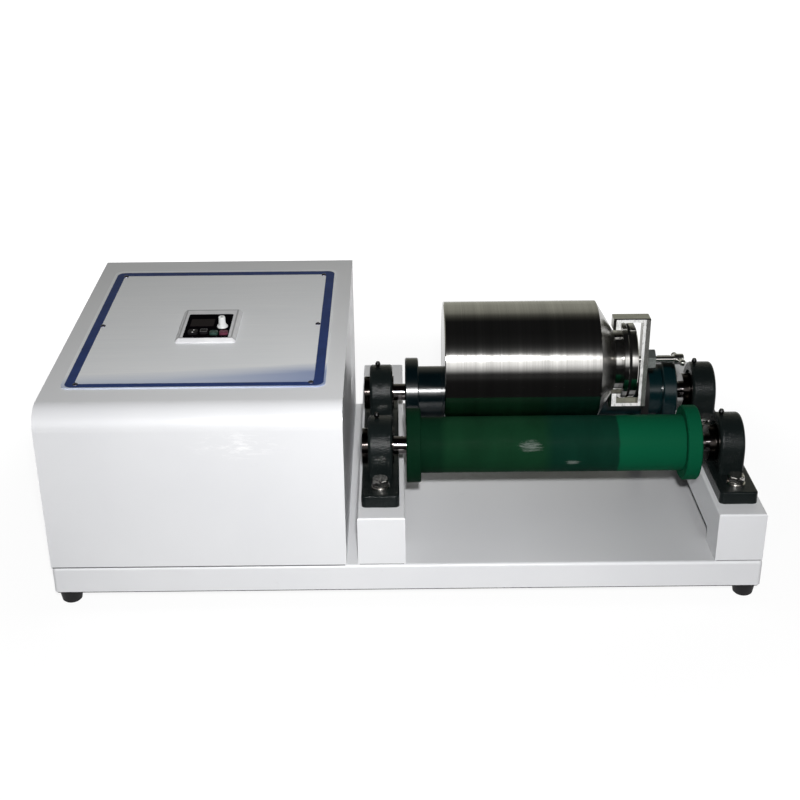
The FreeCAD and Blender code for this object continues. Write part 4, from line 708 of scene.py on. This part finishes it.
def make_floor():
    """A floor that looks white, and near the object is partly lit, so that its soft shadow shows."""
    mesh = bpy.data.meshes.new("floor")
    corners = [(sx * FLOOR_HALF, sy * FLOOR_HALF, 0) for sx, sy in ((-1, -1), (1, -1), (1, 1), (-1, 1))]
    mesh.from_pydata(corners, [], [(0, 1, 2, 3)])
    floor = bpy.data.objects.new("floor", mesh)
    bpy.context.scene.collection.objects.link(floor)
    floor.location.z = -FLOOR_DROP
    material = bpy.data.materials.new("floor")
    material.use_nodes = True
    material.node_tree.nodes.clear()
    wires = Wires(material.node_tree)
    path = wires.add("ShaderNodeLightPath")
    place = wires.add("ShaderNodeNewGeometry").outputs["Position"]
    away = wires.add("ShaderNodeVectorMath", {0: place}, operation="LENGTH").outputs["Value"]
    y = wires.add("ShaderNodeSeparateXYZ", {"Vector": place}).outputs["Y"]
    glossy = path.outputs["Is Glossy Ray"]
    looked = wires.sums("MAXIMUM", wires.sums("MAXIMUM", path.outputs["Is Camera Ray"], glossy),
                        path.outputs["Is Transmission Ray"])
    share = wires.sums("MULTIPLY", looked, wires.span(away, WHITE_FROM, WHITE_TO, WHITE_LEAST, 1.0, True))
    front_dark = wires.sums("MULTIPLY", wires.span(y, *NEAR_DARK, True), wires.span(y, *FAR_PALE, True))
    level = wires.sums("SUBTRACT", 1.0, wires.sums("MULTIPLY", glossy, front_dark))
    tone = wires.sums("MULTIPLY", level, FLOOR_TONE)
    grey = wires.add("ShaderNodeCombineColor", {"Red": tone, "Green": tone, "Blue": tone}).outputs["Color"]
    lit = wires.add("ShaderNodeBsdfDiffuse", {"Color": grey}).outputs[0]
    bright = wires.sums("ADD", level, wires.sums("MULTIPLY", path.outputs["Is Camera Ray"], FLOOR_LIFT))
    glow = wires.add("ShaderNodeEmission", {"Strength": bright}).outputs[0]
    mix = wires.add("ShaderNodeMixShader", {"Fac": share, 1: lit, 2: glow}).outputs[0]
    wires.add("ShaderNodeOutputMaterial", {"Surface": mix})
    mesh.materials.append(material)


def make_world():
    """White where it is looked at, a faint even light on the object, and ROOM in what metal reflects."""
    world = bpy.data.worlds.new("world")
    bpy.context.scene.world = world
    world.use_nodes = True
    world.node_tree.nodes.clear()
    wires = Wires(world.node_tree)
    path = wires.add("ShaderNodeLightPath")
    way = wires.add("ShaderNodeSeparateXYZ", {"Vector": wires.add("ShaderNodeTexCoord").outputs["Generated"]})
    # The arc tangent's cut is turned to point straight down, where the floor hides the room.
    bearing = wires.sums("ARCTAN2", way.outputs["Y"], way.outputs["Z"])
    spot = wires.span(bearing, -math.pi, math.pi)
    ramp = wires.add("ShaderNodeValToRGB", {"Fac": spot})
    stops = ramp.color_ramp.elements
    while len(stops) > 1:
        stops.remove(stops[-1])
    for k, (angle, level) in enumerate(ROOM):
        position = (angle + 90) / 360
        stop = stops[0] if k == 0 else stops.new(position)
        stop.position = position
        blue = WARM_BLUE if WARM_FROM < angle < WARM_TO else 1.0
        stop.color = (level / ROOM_PEAK, level / ROOM_PEAK, level * blue / ROOM_PEAK, 1.0)
    room = wires.add("ShaderNodeBackground", {"Color": ramp.outputs["Color"], "Strength": ROOM_PEAK}).outputs[0]
    soft = wires.add("ShaderNodeBackground", {"Color": SOFT_COLOUR, "Strength": SOFT_LEVEL}).outputs[0]
    seen = wires.add("ShaderNodeBackground", {"Color": (1.0, 1.0, 1.0, 1.0)}).outputs[0]
    mirrored = wires.add("ShaderNodeMixShader", {"Fac": path.outputs["Is Glossy Ray"], 1: soft, 2: room}).outputs[0]
    looked = wires.sums("MAXIMUM", path.outputs["Is Camera Ray"], path.outputs["Is Transmission Ray"])
    mix = wires.add("ShaderNodeMixShader", {"Fac": looked, 1: mirrored, 2: seen}).outputs[0]
    wires.add("ShaderNodeOutputWorld", {"Surface": mix})


def add_lamp(name, place, aim, size, spread, energy):
    data = bpy.data.lights.new(name, "AREA")
    data.shape = "DISK"
    data.size = size
    data.spread = math.radians(spread)
    data.energy = energy
    lamp = bpy.data.objects.new(name, data)
    bpy.context.scene.collection.objects.link(lamp)
    lamp.location = place
    lamp.rotation_euler = (Vector(aim) - lamp.location).to_track_quat("-Z", "Y").to_euler()
    return lamp


def make_light():
    """One lamp just above the camera, as in the photograph, and two low ones that light only the back and the ends."""
    add_lamp("key", KEY_PLACE, KEY_AIM, KEY_SIZE, KEY_SPREAD, KEY_ENERGY)
    for name, side in (("fill_left", -1.0), ("fill_right", 1.0)):
        place, aim = (side * FILL_SIDE, FILL_BACK, FILL_HEIGHT), (0.0, 0.0, FILL_HEIGHT)
        fill = add_lamp(name, place, aim, FILL_SIZE, FILL_SPREAD, FILL_ENERGY)
        fill.visible_glossy = False
        fill.visible_camera = False


bpy.context.scene.view_settings.view_transform = "Standard"
make_camera()
make_floor()
make_world()
make_light()
dress_nodes()
make_knob()
make_key_marks()
make_seams()
make_bolt_heads()
make_bearing_seals()
